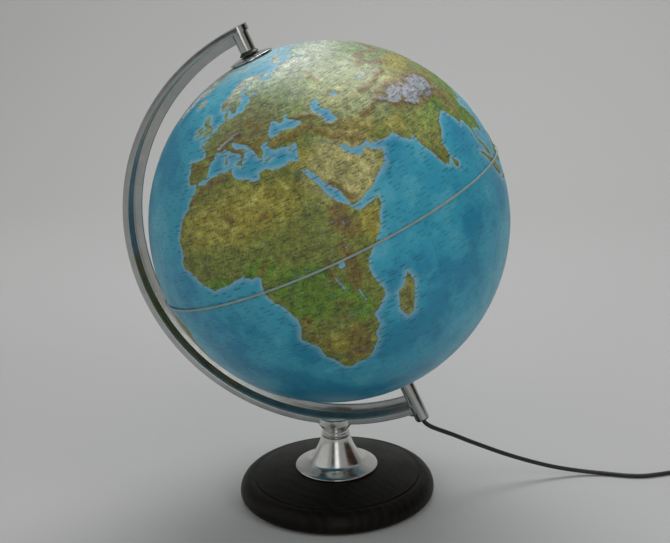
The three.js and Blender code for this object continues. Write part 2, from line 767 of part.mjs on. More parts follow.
const pinHoles = pinPlaces.map((y) => plugRod(plugPinRadius + gap, -1, pinDepth + gap, y));
const plugBody = cut(join(plugBlock, relief), ...pinHoles).translate(0, lastTurnY, 0);
piece(globeOnStand, "plug_body", plugBody, "cord");
pinPlaces.forEach((y, i) => {
  const pin = plugRod(plugPinRadius, -plugPinLength, pinDepth, y).translate(0, lastTurnY, 0);
  piece(globeOnStand, `plug_pin_${i + 1}`, pin, "brass");
});

export default globeOnStand;
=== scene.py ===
# %% [markdown]
# # A lit desk globe on a turned stand
# The globe turns on a tilted axis inside a half-round chrome arm. The arm drops into a saddle on a metal foot,
# and the foot stands on a dark turned base. A mains flex runs from the lamp tube to a switch, a coil and a plug.
# The measured parts come from the CAD frame. This notebook gives them their map, metal, wood and rubber.
# Everything is in metres, with +Z up, in the same frame as the CAD parts.

# %% Load the CAD frame
import json
import math

import bmesh
import bpy
import numpy as np
from mathutils import Matrix, Vector


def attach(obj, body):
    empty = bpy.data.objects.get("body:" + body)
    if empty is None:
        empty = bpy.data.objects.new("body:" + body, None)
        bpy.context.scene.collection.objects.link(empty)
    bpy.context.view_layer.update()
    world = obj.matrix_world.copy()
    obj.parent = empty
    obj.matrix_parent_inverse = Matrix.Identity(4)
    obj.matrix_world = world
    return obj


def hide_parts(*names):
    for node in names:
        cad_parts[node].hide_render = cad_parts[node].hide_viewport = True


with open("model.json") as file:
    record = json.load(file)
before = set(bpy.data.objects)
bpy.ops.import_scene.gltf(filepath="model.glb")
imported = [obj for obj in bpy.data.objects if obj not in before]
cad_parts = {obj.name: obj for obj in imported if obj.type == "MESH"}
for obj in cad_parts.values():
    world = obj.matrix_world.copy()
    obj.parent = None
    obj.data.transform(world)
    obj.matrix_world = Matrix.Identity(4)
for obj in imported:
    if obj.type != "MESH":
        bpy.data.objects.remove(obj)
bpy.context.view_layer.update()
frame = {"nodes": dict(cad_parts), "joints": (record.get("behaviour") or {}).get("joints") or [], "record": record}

MM = 0.001
TILT = math.radians(23.5)
joints = {joint["name"]: joint for joint in frame["joints"]}
GLOBE_AT = Vector(joints["globe_spin"]["pos_m"])
AXIS_FRAME = Matrix.Translation(GLOBE_AT) @ Matrix.Rotation(-TILT, 4, "Y")
print("globe centre", tuple(GLOBE_AT), "nodes", len(frame["nodes"]))

# %% [markdown]
# ## The camera
# A camera is easiest to place by where it stands and how it is turned: a pan about the upright, a tilt down and a
# small roll about its own line of sight. The lens is long, so that the sphere stays almost a circle in the view.

# %% Camera
def new_object(name, data):
    """Puts a mesh, a light or a camera into the scene as an object."""
    obj = bpy.data.objects.new(name, data)
    bpy.context.scene.collection.objects.link(obj)
    return obj


CAMERA_AT = Vector((0.16815, -1.13418, 0.5740))
PAN, TILT_DOWN, ROLL = (math.radians(a) for a in (8.26, -17.85, -1.67))
camera_data = bpy.data.cameras.new("camera")
camera_data.lens = 77.03
camera_data.sensor_width = 36
camera = new_object("camera", camera_data)
turn = Matrix.Rotation(PAN, 4, "Z") @ Matrix.Rotation(math.pi / 2 + TILT_DOWN, 4, "X")
camera.matrix_world = Matrix.Translation(CAMERA_AT) @ turn @ Matrix.Rotation(ROLL, 4, "Z")
bpy.context.scene.camera = camera
print("camera looks along", tuple(round(x, 3) for x in turn.to_3x3() @ Vector((0, 0, -1))))

# %% [markdown]
# ## The studio
# A sheet of pale card lies flat under the globe and curves up behind it, so there is no horizon. Soft light comes
# from broad panels. Metal shows what stands round it, so the room is not one grey: it has a dark screen on the right
# and a narrow dark and a narrow bright strip in front, which draw the bands on the arm and the foot. The camera
# itself sees only the plain grey. From behind, the card lets the camera look through it.

# %% Studio
def add(tree, kind, inputs=None, **settings):
    """Adds a shader node, or the geometry node named. settings are its properties; inputs are values or sockets."""
    node = tree.nodes.new(kind if kind.startswith("Geometry") else "ShaderNode" + kind)
    for name, value in settings.items():
        setattr(node, name, value)
    for name, value in (inputs or {}).items():
        if isinstance(value, bpy.types.NodeSocket):
            tree.links.new(value, node.inputs[name])
        else:
            node.inputs[name].default_value = value
    return node


def grey(value):
    return (value, value, value, 1.0)


def backdrop(front=-2.2, back=1.5, bend=0.6, rise=1.8, half=3.2):
    """A floor that bends up into a wall behind, and can be looked through from its rear."""
    line = [(front, 0.0)]
    for step in range(17):
        angle = math.radians(90 * step / 16)
        line.append((back - bend + bend * math.sin(angle), bend - bend * math.cos(angle)))
    line.append((back, rise))
    points = [(x, y, z) for y, z in line for x in (-half, half)]
    faces = [(2 * i, 2 * i + 1, 2 * i + 3, 2 * i + 2) for i in range(len(line) - 1)]
    mesh = bpy.data.meshes.new("backdrop")
    mesh.from_pydata(points, [], faces)
    mesh.polygons.foreach_set("use_smooth", [True] * len(faces))
    material = bpy.data.materials.new("studio_card")
    material.use_nodes = True
    card = material.node_tree.nodes["Principled BSDF"]
    card.inputs["Base Color"].default_value = (0.442, 0.442, 0.440, 1)
    card.inputs["Roughness"].default_value = 0.85
    rear = add(material.node_tree, "NewGeometry").outputs["Backfacing"]
    see_through = add(material.node_tree, "Math", {0: 1.0, 1: rear}, operation="SUBTRACT").outputs[0]
    material.node_tree.links.new(see_through, card.inputs["Alpha"])
    mesh.materials.append(material)
    new_object("backdrop", mesh)


def soft_light(name, place, target, size, power):
    """A square-cornered panel of light that stands at a place and faces a target."""
    data = bpy.data.lights.new(name, "AREA")
    data.shape = "RECTANGLE"
    data.size, data.size_y = size
    data.energy = power
    light = new_object(name, data)
    light.location = place
    light.rotation_euler = (Vector(target) - Vector(place)).to_track_quat("-Z", "Y").to_euler()
    return light


def room_patch(tree, across, up, middle, half, low, high, soft=5.0):
    """A soft-edged patch of the room: 1 inside a span of compass and height angles, 0 outside."""
    off = add(tree, "Math", {0: across, 1: middle}, operation="SUBTRACT").outputs[0]
    off = add(tree, "Math", {0: off}, operation="ABSOLUTE")
    edges = [(off.outputs[0], half + soft, half), (up, low, low + soft), (up, high + soft, high)]
    mask = 1.0
    for value, zero, one in edges:
        side = add(tree, "MapRange", {"Value": value, "From Min": zero, "From Max": one}).outputs["Result"]
        mask = add(tree, "Math", {0: side, 1: mask}, operation="MULTIPLY").outputs[0]
    return mask


ROOM_GREY = (0.30, 0.305, 0.30, 1)
ROOM_PATCHES = (  # (compass middle, half width, lowest, highest) in degrees, and the tone there
    ((102, 34, -12, 34), (0.030, 0.016, 0.009, 1)),  # dark brown screen on the right
    ((-12, 5, -60, 60), (0.05, 0.055, 0.055, 1)),  # dark strip in front
    ((12, 7, -60, 60), (1.25, 1.25, 1.22, 1)),  # bright strip in front
    ((-70, 28, 0, 50), (0.48, 0.49, 0.48, 1)),  # pale panel on the left
)


def studio_room():
    """Plain grey to the camera; to everything else a grey room with a dark screen and two strips."""
    world = bpy.data.worlds.new("studio_room")
    world.use_nodes = True
    tree = world.node_tree
    way = add(tree, "SeparateXYZ", {0: add(tree, "TexCoord").outputs["Generated"]}).outputs
    back = add(tree, "Math", {0: way["Y"], 1: -1.0}, operation="MULTIPLY").outputs[0]
    across = add(tree, "Math", {0: way["X"], 1: back}, operation="ARCTAN2").outputs[0]
    across = add(tree, "Math", {0: across}, operation="DEGREES").outputs[0]
    up = add(tree, "Math", {0: way["Z"]}, operation="ARCSINE").outputs[0]
    up = add(tree, "Math", {0: up}, operation="DEGREES").outputs[0]
    colour = ROOM_GREY
    for spans, tone in ROOM_PATCHES:
        patch = room_patch(tree, across, up, *spans)
        colour = add(tree, "Mix", {0: patch, 6: colour, 7: tone}, data_type="RGBA").outputs[2]
    seen = add(tree, "LightPath").outputs["Is Camera Ray"]
    colour = add(tree, "Mix", {0: seen, 6: colour, 7: grey(0.36)}, data_type="RGBA").outputs[2]
    tree.links.new(colour, tree.nodes["Background"].inputs["Color"])
    bpy.context.scene.world = world


backdrop()
studio_room()
PANELS = (  # name, where it stands, what it faces, size, power in watts, whether metal mirrors it
    ("overhead", (-0.05, 0.78, 1.62), (0, 0, 0.24), (1.2, 0.8), 19, True),
    ("side", (1.6, -1.0, 1.3), (0, 0, 0.25), (0.8, 1.2), 9, False),
    ("front", (-0.9, -2.0, 1.4), (0, 0, 0.22), (1.2, 0.8), 5, False),
)
for *panel, mirrored in PANELS:
    soft_light(*panel).visible_glossy = mirrored
bpy.context.scene.view_settings.view_transform = "Standard"

# %% [markdown]
# ## Helpers that make a piece
# Every piece below ends the same way: its mesh is already in its place, it gets a material, it rides on a CAD body
# and it stands for one or more CAD nodes. Turned parts are lathe work, so one helper spins an outline about an
# axis. Real edges are never razor sharp, so another helper rounds the corners of an outline before it is spun.

# %% Piece helpers
materials = {}


def finish_piece(obj, body, slot, nodes=(), sharp=38):
    """Gives a mesh its finish, its shading and its body, and hides the CAD nodes that it stands for."""
    obj.data.polygons.foreach_set("use_smooth", [True] * len(obj.data.polygons))
    obj.data.set_sharp_from_angle(angle=math.radians(sharp))
    if not obj.data.materials:
        obj.data.materials.append(materials[slot])
    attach(obj, body)
    if nodes:
        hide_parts(*nodes)
    return obj


def mesh_object(name, points, faces, place=None):
    mesh = bpy.data.meshes.new(name)
    mesh.from_pydata([tuple(p) for p in points], [], faces)
    if place is not None:
        mesh.transform(place)
    return new_object(name, mesh)


def moved(obj, matrix):
    obj.data.transform(matrix)
    return obj


def arc(centre, radius, start, end, steps):
    """Points of an arc in an outline's plane, from one angle to another in degrees."""
    angles = np.radians(np.linspace(start, end, steps + 1))
    return [(centre[0] + radius * math.cos(a), centre[1] + radius * math.sin(a)) for a in angles]


def eased(outline, radius, closed=True, steps=3):
    """An outline with each sharp corner cut back to a small round one."""
    made = []
    count = len(outline)
    for i, corner in enumerate(outline):
        before, after = outline[i - 1], outline[(i + 1) % count]
        here = Vector(corner)
        if not closed and i in (0, count - 1):
            made.append(tuple(corner))
            continue
        back, on = Vector(before) - here, Vector(after) - here
        turn_by = math.pi - back.angle(on, math.pi)
        if turn_by < math.radians(25):
            made.append(tuple(corner))
            continue
        reach = min(radius * math.tan(turn_by / 2), 0.45 * back.length, 0.45 * on.length)
        first, last = here + back.normalized() * reach, here + on.normalized() * reach
        for step in range(steps + 1):
            t = step / steps
            made.append(tuple(first * (1 - t) ** 2 + here * 2 * t * (1 - t) + last * t * t))
    return made


def turned(name, outline, segments=96, place=None, units=MM):
    """Spins a closed outline of (radius, height) about the upright. Points on the axis close the shape."""
    count = len(outline)
    rings, points = [], []
    for radius, height in outline:
        if abs(radius) < 1e-9:
            rings.append([len(points)] * segments)
            points.append((0, 0, height * units))
            continue
        rings.append(list(range(len(points), len(points) + segments)))
        for k in range(segments):
            angle = 2 * math.pi * k / segments
            points.append((radius * units * math.cos(angle), radius * units * math.sin(angle), height * units))
    faces = []
    for i in range(count):
        a, b = rings[i], rings[(i + 1) % count]
        if a[0] == a[-1] and b[0] == b[-1]:
            continue
        for k in range(segments):
            n = (k + 1) % segments
            faces.append(list(dict.fromkeys([a[k], a[n], b[n], b[k]])))
    return mesh_object(name, points, faces, place)


def swept(name, centreline, section, units=1.0):
    """Runs a section of (out, side) points along frames of (place, out, side); both ends are capped."""
    points, size = [], len(section)
    for middle, out, side in centreline:
        points += [middle + out * (u * units) + side * (v * units) for u, v in section]
    faces = []
    for i in range(len(centreline) - 1):
        for k in range(size):
            n = (k + 1) % size
            faces.append((i * size + k, i * size + n, (i + 1) * size + n, (i + 1) * size + k))
    faces.append(tuple(range(size)))
    faces.append(tuple(range(len(points) - size, len(points))))
    return mesh_object(name, points, faces)


def face_outwards(obj):
    """Turns every face of a closed mesh to point out."""
    work = bmesh.new()
    work.from_mesh(obj.data)
    bmesh.ops.remove_doubles(work, verts=work.verts, dist=1e-7)
    bmesh.ops.recalc_face_normals(work, faces=work.faces)
    if work.calc_volume(signed=True) < 0:
        bmesh.ops.reverse_faces(work, faces=work.faces)
    work.to_mesh(obj.data)
    work.free()
    return obj


def slab(name, low_ring, high_ring):
    """A solid between two matching rings of points."""
    n = len(low_ring)
    faces = [tuple(range(n)), tuple(range(n, 2 * n))]
    faces += [(i, (i + 1) % n, n + (i + 1) % n, n + i) for i in range(n)]
    return face_outwards(mesh_object(name, low_ring + high_ring, faces))


def applied(obj):
    """Turns an object and its modifiers into a plain mesh."""
    bpy.context.view_layer.update()
    result = bpy.data.meshes.new_from_object(obj.evaluated_get(bpy.context.evaluated_depsgraph_get()))
    obj.modifiers.clear()
    obj.data = result
    return obj


def combined(obj, others, how):
    """Applies boolean operations to obj in turn, and throws the tools away."""
    for other in others:
        step = obj.modifiers.new("combine", "BOOLEAN")
        step.operation, step.solver, step.object = how, "EXACT", other
        applied(obj)
        bpy.data.objects.remove(other)
    return obj


def bevelled(obj, width, segments=2, angle=35):
    """Rounds the sharp edges of a mesh, as a mould or a polishing wheel leaves them."""
    step = obj.modifiers.new("round_edges", "BEVEL")
    step.width, step.segments, step.limit_method = width, segments, "ANGLE"
    step.angle_limit = math.radians(angle)
    step.harden_normals = False
    return applied(obj)


def lathed(name, outline, segments, body, slot, node, place=None, **finish):
    """Spins an outline into a finished piece that stands for one CAD node."""
    return finish_piece(face_outwards(turned(name, outline, segments, place)), body, slot, [node], **finish)


print("helpers ready")

# %% [markdown]
# ## Shared surface effects
# A finish is more than a colour. Three small node groups hold what several materials share: a cloudy change of
# tone, fine scratches that run one way, and the brighter rubbed edges of a handled thing. A group is built once
# and then placed in each material with its own values. It hands out masks and normals, never a shader.

# %% Shader groups
def new_group(name, inputs, outputs):
    """A shader node group with named sockets. inputs maps a name to (socket kind, default)."""
    group = bpy.data.node_groups.new(name, "ShaderNodeTree")
    for label, (socket_kind, value) in inputs.items():
        socket = group.interface.new_socket(label, in_out="INPUT", socket_type="NodeSocket" + socket_kind)
        if value is not None:
            socket.default_value = value
    for label, socket_kind in outputs.items():
        group.interface.new_socket(label, in_out="OUTPUT", socket_type="NodeSocket" + socket_kind)
    return group, group.nodes.new("NodeGroupInput").outputs, group.nodes.new("NodeGroupOutput").inputs


def ramp(tree, factor, stops):
    """A colour ramp with stops of (position, colour)."""
    node = add(tree, "ValToRGB", {"Fac": factor})
    band = node.color_ramp.elements
    while len(band) < len(stops):
        band.new(0.5)
    for element, (position, colour) in zip(band, stops):
        element.position = position
        element.color = colour if hasattr(colour, "__len__") else grey(colour)
    return node.outputs["Color"]


def sums(tree, operation, a, b=0.0, c=0.0, clamp=False):
    return add(tree, "Math", {0: a, 1: b, 2: c}, operation=operation, use_clamp=clamp).outputs[0]


def blend_colours(tree, factor, a, b, how="MIX"):
    return add(tree, "Mix", {0: factor, 6: a, 7: b}, data_type="RGBA", blend_type=how).outputs[2]


def spread_over(tree, value, low, high, start=0.0, stop=1.0):
    """Takes a value from the span low-high to the span start-stop, and holds it at the ends."""
    spans = {"Value": value, "From Min": low, "From Max": high, "To Min": start, "To Max": stop}
    return add(tree, "MapRange", spans).outputs["Result"]


clouds, ins, outs = new_group(
    "cloudy_tone",
    {"Vector": ("Vector", None), "Scale": ("Float", 40.0), "Low": ("Float", 0.3), "High": ("Float", 0.4)},
    {"Value": "Float"},
)
cloud = add(clouds, "TexNoise", {"Vector": ins["Vector"], "Scale": ins["Scale"], "Detail": 5.0, "Roughness": 0.6})
clouds.links.new(spread_over(clouds, cloud.outputs["Fac"], 0.3, 0.7, ins["Low"], ins["High"]), outs["Value"])

scratches, ins, outs = new_group(
    "drawn_scratches",
    {
        "Vector": ("Vector", None), "Stretch": ("Vector", (1.0, 1.0, 1.0)), "Scale": ("Float", 900.0),
        "Depth": ("Float", 0.00001), "Strength": ("Float", 0.3),
    },
    {"Mask": "Float", "Normal": "Vector"},
)
pulled = add(scratches, "VectorMath", {0: ins["Vector"], 1: ins["Stretch"]}, operation="MULTIPLY")
streak = add(
    scratches, "TexNoise",
    {"Vector": pulled.outputs[0], "Scale": ins["Scale"], "Detail": 3.0, "Roughness": 0.7},
)
raised = add(
    scratches, "Bump",
    {"Strength": ins["Strength"], "Distance": ins["Depth"], "Height": streak.outputs["Fac"]},
)
scratches.links.new(streak.outputs["Fac"], outs["Mask"])
scratches.links.new(raised.outputs["Normal"], outs["Normal"])

rubbed, ins, outs = new_group(
    "rubbed_edges",
    {"Vector": ("Vector", None), "Amount": ("Float", 0.5), "Scale": ("Float", 160.0)},
    {"Mask": "Float"},
)
crest = add(rubbed, "NewGeometry").outputs["Pointiness"]
edge = spread_over(rubbed, crest, 0.51, 0.6)
patchy = add(rubbed, "TexNoise", {"Vector": ins["Vector"], "Scale": ins["Scale"], "Detail": 4.0})
worn = sums(rubbed, "MULTIPLY", edge, patchy.outputs["Fac"])
rubbed.links.new(sums(rubbed, "MULTIPLY", worn, ins["Amount"], clamp=True), outs["Mask"])
print("groups", [g.name for g in bpy.data.node_groups])

# %% [markdown]
# ## Finishes for metal, plastic, rubber and felt
# Metal gets its look from what it mirrors, so its own colour stays plain and the detail goes into how sharp the
# mirror is: wiped patches and hair scratches change the roughness a little. Moulded plastic has a fine spark
# texture. Rubber flex is duller and has faint drag marks along it. Felt is short fibre, which is all bump.

# %% Metals and plastics
def new_material(slot, **sockets):
    """A material with its constants set straight on the shader. Returns its tree, shader and coordinates."""
    material = bpy.data.materials.new(slot)
    material.use_nodes = True
    tree = material.node_tree
    shader = tree.nodes["Principled BSDF"]
    for name, value in sockets.items():
        shader.inputs[name.replace("_", " ")].default_value = value
    materials[slot] = material
    return tree, shader, add(tree, "TexCoord").outputs["Object"]


def place_group(tree, group, inputs):
    return add(tree, "Group", inputs, node_tree=group).outputs


def metal(slot, dark, light, rough, stretch, depth=0.000004, patch=55.0):
    """A worked metal: two close tones, wiped patches and fine scratches that run one way."""
    tree, shader, where = new_material(slot, Metallic=1.0)
    tone = place_group(tree, clouds, {"Vector": where, "Scale": patch, "Low": 0.0, "High": 1.0})["Value"]
    lines = place_group(tree, scratches, {"Vector": where, "Stretch": stretch, "Depth": depth})
    wear = place_group(tree, rubbed, {"Vector": where, "Amount": 0.6})["Mask"]
    body = blend_colours(tree, tone, (*dark, 1), (*light, 1))
    bright = blend_colours(tree, wear, body, (min(1, light[0] * 1.15),) * 3 + (1,))
    tree.links.new(bright, shader.inputs["Base Color"])
    wiped = place_group(tree, clouds, {"Vector": where, "Scale": 2.5 * patch, "Low": rough[0], "High": rough[1]})
    hair = sums(tree, "MULTIPLY_ADD", lines["Mask"], 0.08, wiped["Value"])
    tree.links.new(sums(tree, "SUBTRACT", hair, 0.04, clamp=True), shader.inputs["Roughness"])
    tree.links.new(lines["Normal"], shader.inputs["Normal"])


def moulded(slot, colour, second, rough, grain_scale, grain_depth, stretch=(1, 1, 1), **sockets):
    """A moulded plastic or rubber: a cloudy colour, a fine texture from the mould and lighter rubbed edges."""
    tree, shader, where = new_material(slot, **sockets)
    tone = place_group(tree, clouds, {"Vector": where, "Scale": 90.0, "Low": 0.0, "High": 1.0})["Value"]
    wear = place_group(tree, rubbed, {"Vector": where, "Amount": 0.5})["Mask"]
    body = blend_colours(tree, tone, (*colour, 1), (*second, 1))
    edge_tone = tuple(min(1.0, c * 1.6 + 0.01) for c in second)
    tree.links.new(blend_colours(tree, wear, body, (*edge_tone, 1)), shader.inputs["Base Color"])
    texture = place_group(
        tree, scratches,
        {"Vector": where, "Stretch": stretch, "Scale": grain_scale, "Depth": grain_depth, "Strength": 0.5},
    )
    gloss = place_group(tree, clouds, {"Vector": where, "Scale": 240.0, "Low": rough[0], "High": rough[1]})
    tree.links.new(gloss["Value"], shader.inputs["Roughness"])
    tree.links.new(texture["Normal"], shader.inputs["Normal"])


# One chrome in two copies: the arm's tones are painted darker as painted shade and the stand's lighter as painted
# light, for how bright each one's reflections look.
metal("arm_chrome", (0.50, 0.515, 0.505), (0.62, 0.635, 0.625), (0.13, 0.22), (0.25, 1, 0.25))
metal("stand_chrome", (0.64, 0.63, 0.61), (0.76, 0.75, 0.73), (0.14, 0.26), (1, 1, 6))
metal("steel", (0.40, 0.40, 0.39), (0.52, 0.52, 0.50), (0.28, 0.42), (1, 1, 4))
metal("brass", (0.52, 0.39, 0.17), (0.66, 0.51, 0.25), (0.25, 0.4), (1, 1, 5))
metal("plated_pin", (0.55, 0.54, 0.50), (0.68, 0.67, 0.63), (0.18, 0.3), (0.2, 1, 1))
moulded("dark_plastic", (0.022, 0.022, 0.015), (0.040, 0.040, 0.026), (0.38, 0.5), 1500.0, 0.00002)
moulded("black_plastic", (0.010, 0.010, 0.010), (0.020, 0.020, 0.021), (0.30, 0.42), 2200.0, 0.00003)
moulded("white_plastic", (0.60, 0.58, 0.52), (0.68, 0.66, 0.60), (0.4, 0.5), 1500.0, 0.00002)
moulded("black_rubber", (0.008, 0.008, 0.008), (0.016, 0.016, 0.015), (0.42, 0.55), 1200.0, 0.00002, (1, 1, 3))
moulded("felt", (0.012, 0.040, 0.022), (0.030, 0.075, 0.045), (0.9, 1.0), 900.0, 0.0006, Sheen_Weight=0.5)

tree, shader, where = new_material("frosted_glass", Transmission_Weight=0.85, IOR=1.45)
mist = place_group(tree, clouds, {"Vector": where, "Scale": 300.0, "Low": 0.45, "High": 0.6})["Value"]
tree.links.new(mist, shader.inputs["Roughness"])
film = ramp(tree, mist, [(0.4, (0.86, 0.85, 0.80, 1)), (0.65, (0.95, 0.95, 0.92, 1))])
tree.links.new(film, shader.inputs["Base Color"])
print("finishes", sorted(materials))

# %% [markdown]
# ## Stained wood
# The base was turned from a block with its grain lying flat. Long growth lines cross the top, dark pores run along
# them, and a stain almost hides both under a satin varnish. A wave texture bent by noise gives the growth lines,
# and a noise stretched along the grain gives the pores, which also dent the varnish.

# %% Stained wood
tree, shader, where = new_material("dark_wood", Coat_Weight=0.05, Coat_Roughness=0.22, Specular_IOR_Level=0.12)
plank = add(tree, "Mapping", {"Vector": where, "Rotation": (0.12, 0.05, 0.6), "Location": (0.02, 0.11, 0)}).outputs[0]
growth = add(
    tree, "TexWave",
    {"Vector": plank, "Scale": 36.0, "Distortion": 9.0, "Detail": 4.0, "Detail Scale": 0.9},
    wave_type="BANDS", bands_direction="Y",
)
along = add(tree, "VectorMath", {0: plank, 1: (55.0, 1500.0, 900.0)}, operation="MULTIPLY").outputs[0]
pores = add(tree, "TexNoise", {"Vector": along, "Scale": 1.0, "Detail": 4.0, "Roughness": 0.7}).outputs["Fac"]
open_pores = ramp(tree, pores, [(0.56, 0.0), (0.66, 1.0)])
stain = ramp(
    tree, growth.outputs["Fac"],
    [(0.0, (0.0030, 0.0024, 0.0016, 1)), (0.55, (0.0050, 0.0039, 0.0024, 1)), (1.0, (0.0084, 0.0062, 0.0038, 1))],
)
pore_tone = blend_colours(tree, open_pores, stain, (0.0015, 0.0013, 0.0012, 1))
wear = place_group(tree, rubbed, {"Vector": where, "Amount": 0.7})["Mask"]
tree.links.new(blend_colours(tree, wear, pore_tone, (0.022, 0.015, 0.009, 1)), shader.inputs["Base Color"])
satin = place_group(tree, clouds, {"Vector": where, "Scale": 30.0, "Low": 0.36, "High": 0.50})["Value"]
tree.links.new(sums(tree, "MULTIPLY_ADD", open_pores, 0.12, satin), shader.inputs["Roughness"])
dent = add(tree, "Bump", {"Strength": 0.45, "Distance": 0.0002, "Height": sums(tree, "SUBTRACT", 1.0, open_pores)})
tree.links.new(dent.outputs["Normal"], shader.inputs["Normal"])
print("wood layers: growth lines, pores, rubbed edges")

# %% [markdown]
# ## The mains flex
# A flex is a fixed length of something springy. It leaves the gland in line with the tube, falls in one easy curve,
# lies on the table, passes through the switch and is wound into a coil that a tie holds. Its route is a list of
# points; a curve through them is followed by a round section. The coil is laid turn by turn: each turn shifts
# over, or climbs a layer, in its own seventh of the circle, so that no strand meets the next one.

# %% The flex's route
FLEX = 0.0038
tube_end = AXIS_FRAME @ Vector((0, 0, -0.190))
gland_mouth = AXIS_FRAME @ Vector((0, 0, -0.184))
lead_points = [
    (0.0776, 0.0006, 0.0696), (0.0815, 0.0022, 0.0656), (0.087, 0.0046, 0.062), (0.101, 0.011, 0.054),
    (0.114, 0.018, 0.0455), (0.128, 0.026, 0.0365), (0.145, 0.0335, 0.027), (0.167, 0.040, 0.0175),
    (0.190, 0.046, 0.0095), (0.212, 0.0505, 0.0044), (0.233, 0.0515, 0.0022), (0.257, 0.049, 0.0019),
    (0.270, 0.050, 0.0019), (0.282, 0.054, 0.0019), (0.292, 0.058, 0.0019), (0.304, 0.0615, 0.0025),
    (0.317, 0.063, 0.0051), (0.330, 0.063, 0.007),
]
through_switch = [(0.345, 0.063, 0.007), (0.360, 0.063, 0.007), (0.375, 0.063, 0.007), (0.390, 0.063, 0.007)]
to_coil = [(0.397, 0.063, 0.006), (0.406, 0.063, 0.0036), (0.413, 0.063, 0.0032)]
COIL_AT = Vector((0.421, 0.03805, 0.0))
STRAND = 0.00395
FIRST_HEIGHT = 0.0032
turn_radii = [STRAND * k + 0.01705 for k in (2, 1, 0, 0, 1, 2, 2, 1, 0, 0, 1, 2)]
turn_layers = [0, 0, 0, 1, 1, 1, 2, 2, 2, 3, 3, 3]
shift_slot = {3: 0, 2: 2, 1: 4, 0: 6}
climb_slot = {2: 1, 1: 3, 0: 5}


def eased_step(t):
    t = min(max(t, 0.0), 1.0)
    return t * t * (3 - 2 * t)


def coil_point(turns):
    """The place of the strand after so many turns, clockwise from the back of the coil."""
    k = min(int(turns), len(turn_radii) - 2)
    part = (turns - k) * 7
    layer = turn_layers[k]
    climbs = turn_layers[k + 1] > layer
    slot = climb_slot.get(layer, 0) if climbs else shift_slot[layer]
    t = eased_step(part - slot)
    radius = turn_radii[k] + (turn_radii[k + 1] - turn_radii[k]) * t
    height = FIRST_HEIGHT + STRAND * (layer + (t if climbs else 0))
    angle = math.pi / 2 - 2 * math.pi * turns
    return COIL_AT + Vector((radius * math.cos(angle), radius * math.sin(angle), height))


COIL_TURNS = 10.5
coil = [coil_point(i / 40) for i in range(int(COIL_TURNS * 40) + 1)]
to_plug = [
    (0.415, 0.0131, 0.01505), (0.409, 0.0132, 0.0147), (0.402, 0.0139, 0.0129), (0.394, 0.0152, 0.0100),
    (0.386, 0.0166, 0.0076), (0.380, 0.01705, 0.00685), (0.374, 0.01705, 0.0068),
]


def spline(points, step=0.0025):
    """A smooth line through the points, with places about a step apart."""
    p = [Vector(q) for q in points]
    p = [2 * p[0] - p[1], *p, 2 * p[-1] - p[-2]]
    made = []
    for a, b, c, d in zip(p, p[1:], p[2:], p[3:]):
        t = [0.0]
        for u, v in ((a, b), (b, c), (c, d)):
            t.append(t[-1] + math.sqrt(max((v - u).length, 1e-9)))
        for i in range(max(2, round((c - b).length / step))):
            s = t[1] + (t[2] - t[1]) * i / max(2, round((c - b).length / step))
            ab = a.lerp(b, (s - t[0]) / (t[1] - t[0]))
            bc = b.lerp(c, (s - t[1]) / (t[2] - t[1]))
            cd = c.lerp(d, (s - t[2]) / (t[3] - t[2]))
            left = ab.lerp(bc, (s - t[0]) / (t[2] - t[0]))
            right = bc.lerp(cd, (s - t[1]) / (t[3] - t[1]))
            made.append(left.lerp(right, (s - t[1]) / (t[2] - t[1])))
    made.append(p[-2])
    return made


route = spline([tuple(gland_mouth), tuple(tube_end), *lead_points, *through_switch, *to_coil])
route += coil + spline([tuple(coil[-1]), *to_plug])[1:]

# %% The flex
def tube_frames(line):
    """A frame of (place, out, side) at each place, turned as little as possible from one to the next."""
    frames = []
    out = Vector((0, 0, 1))
    for i, place in enumerate(line):
        ahead = (line[min(i + 1, len(line) - 1)] - line[max(i - 1, 0)]).normalized()
        out = (out - ahead * out.dot(ahead)).normalized()
        frames.append((place, out, ahead.cross(out)))
    return frames


round_section = [(math.cos(a), math.sin(a)) for a in np.linspace(0, 2 * math.pi, 12, endpoint=False)]
flex = face_outwards(swept("mains_flex", tube_frames(route), round_section, units=FLEX / 2))
finish_piece(flex, "stand", "black_rubber", ["cord_lead", "cord_middle", "cord_coil", "cord_end"], sharp=60)
print("flex faces", len(flex.data.polygons))

# %% [markdown]
# ## The map's outlines
# The ball carries a printed relief map. A picture could be wrapped on it, but a drawn map keeps sharp at any size and
# needs no picture: each land and lake is an outline of a few longitude and latitude points. Every
# point of the ball then learns how far it is from the nearest coast and on which side. Fractal noise bends the
# outlines a little, which gives bays and headlands that a few points can't.

# %% Land and lake outlines
def degrees_list(text):
    """Points of (longitude, latitude) from a line of 'lon,lat' pairs."""
    return np.array([[float(v) for v in pair.split(",")] for pair in text.split()])


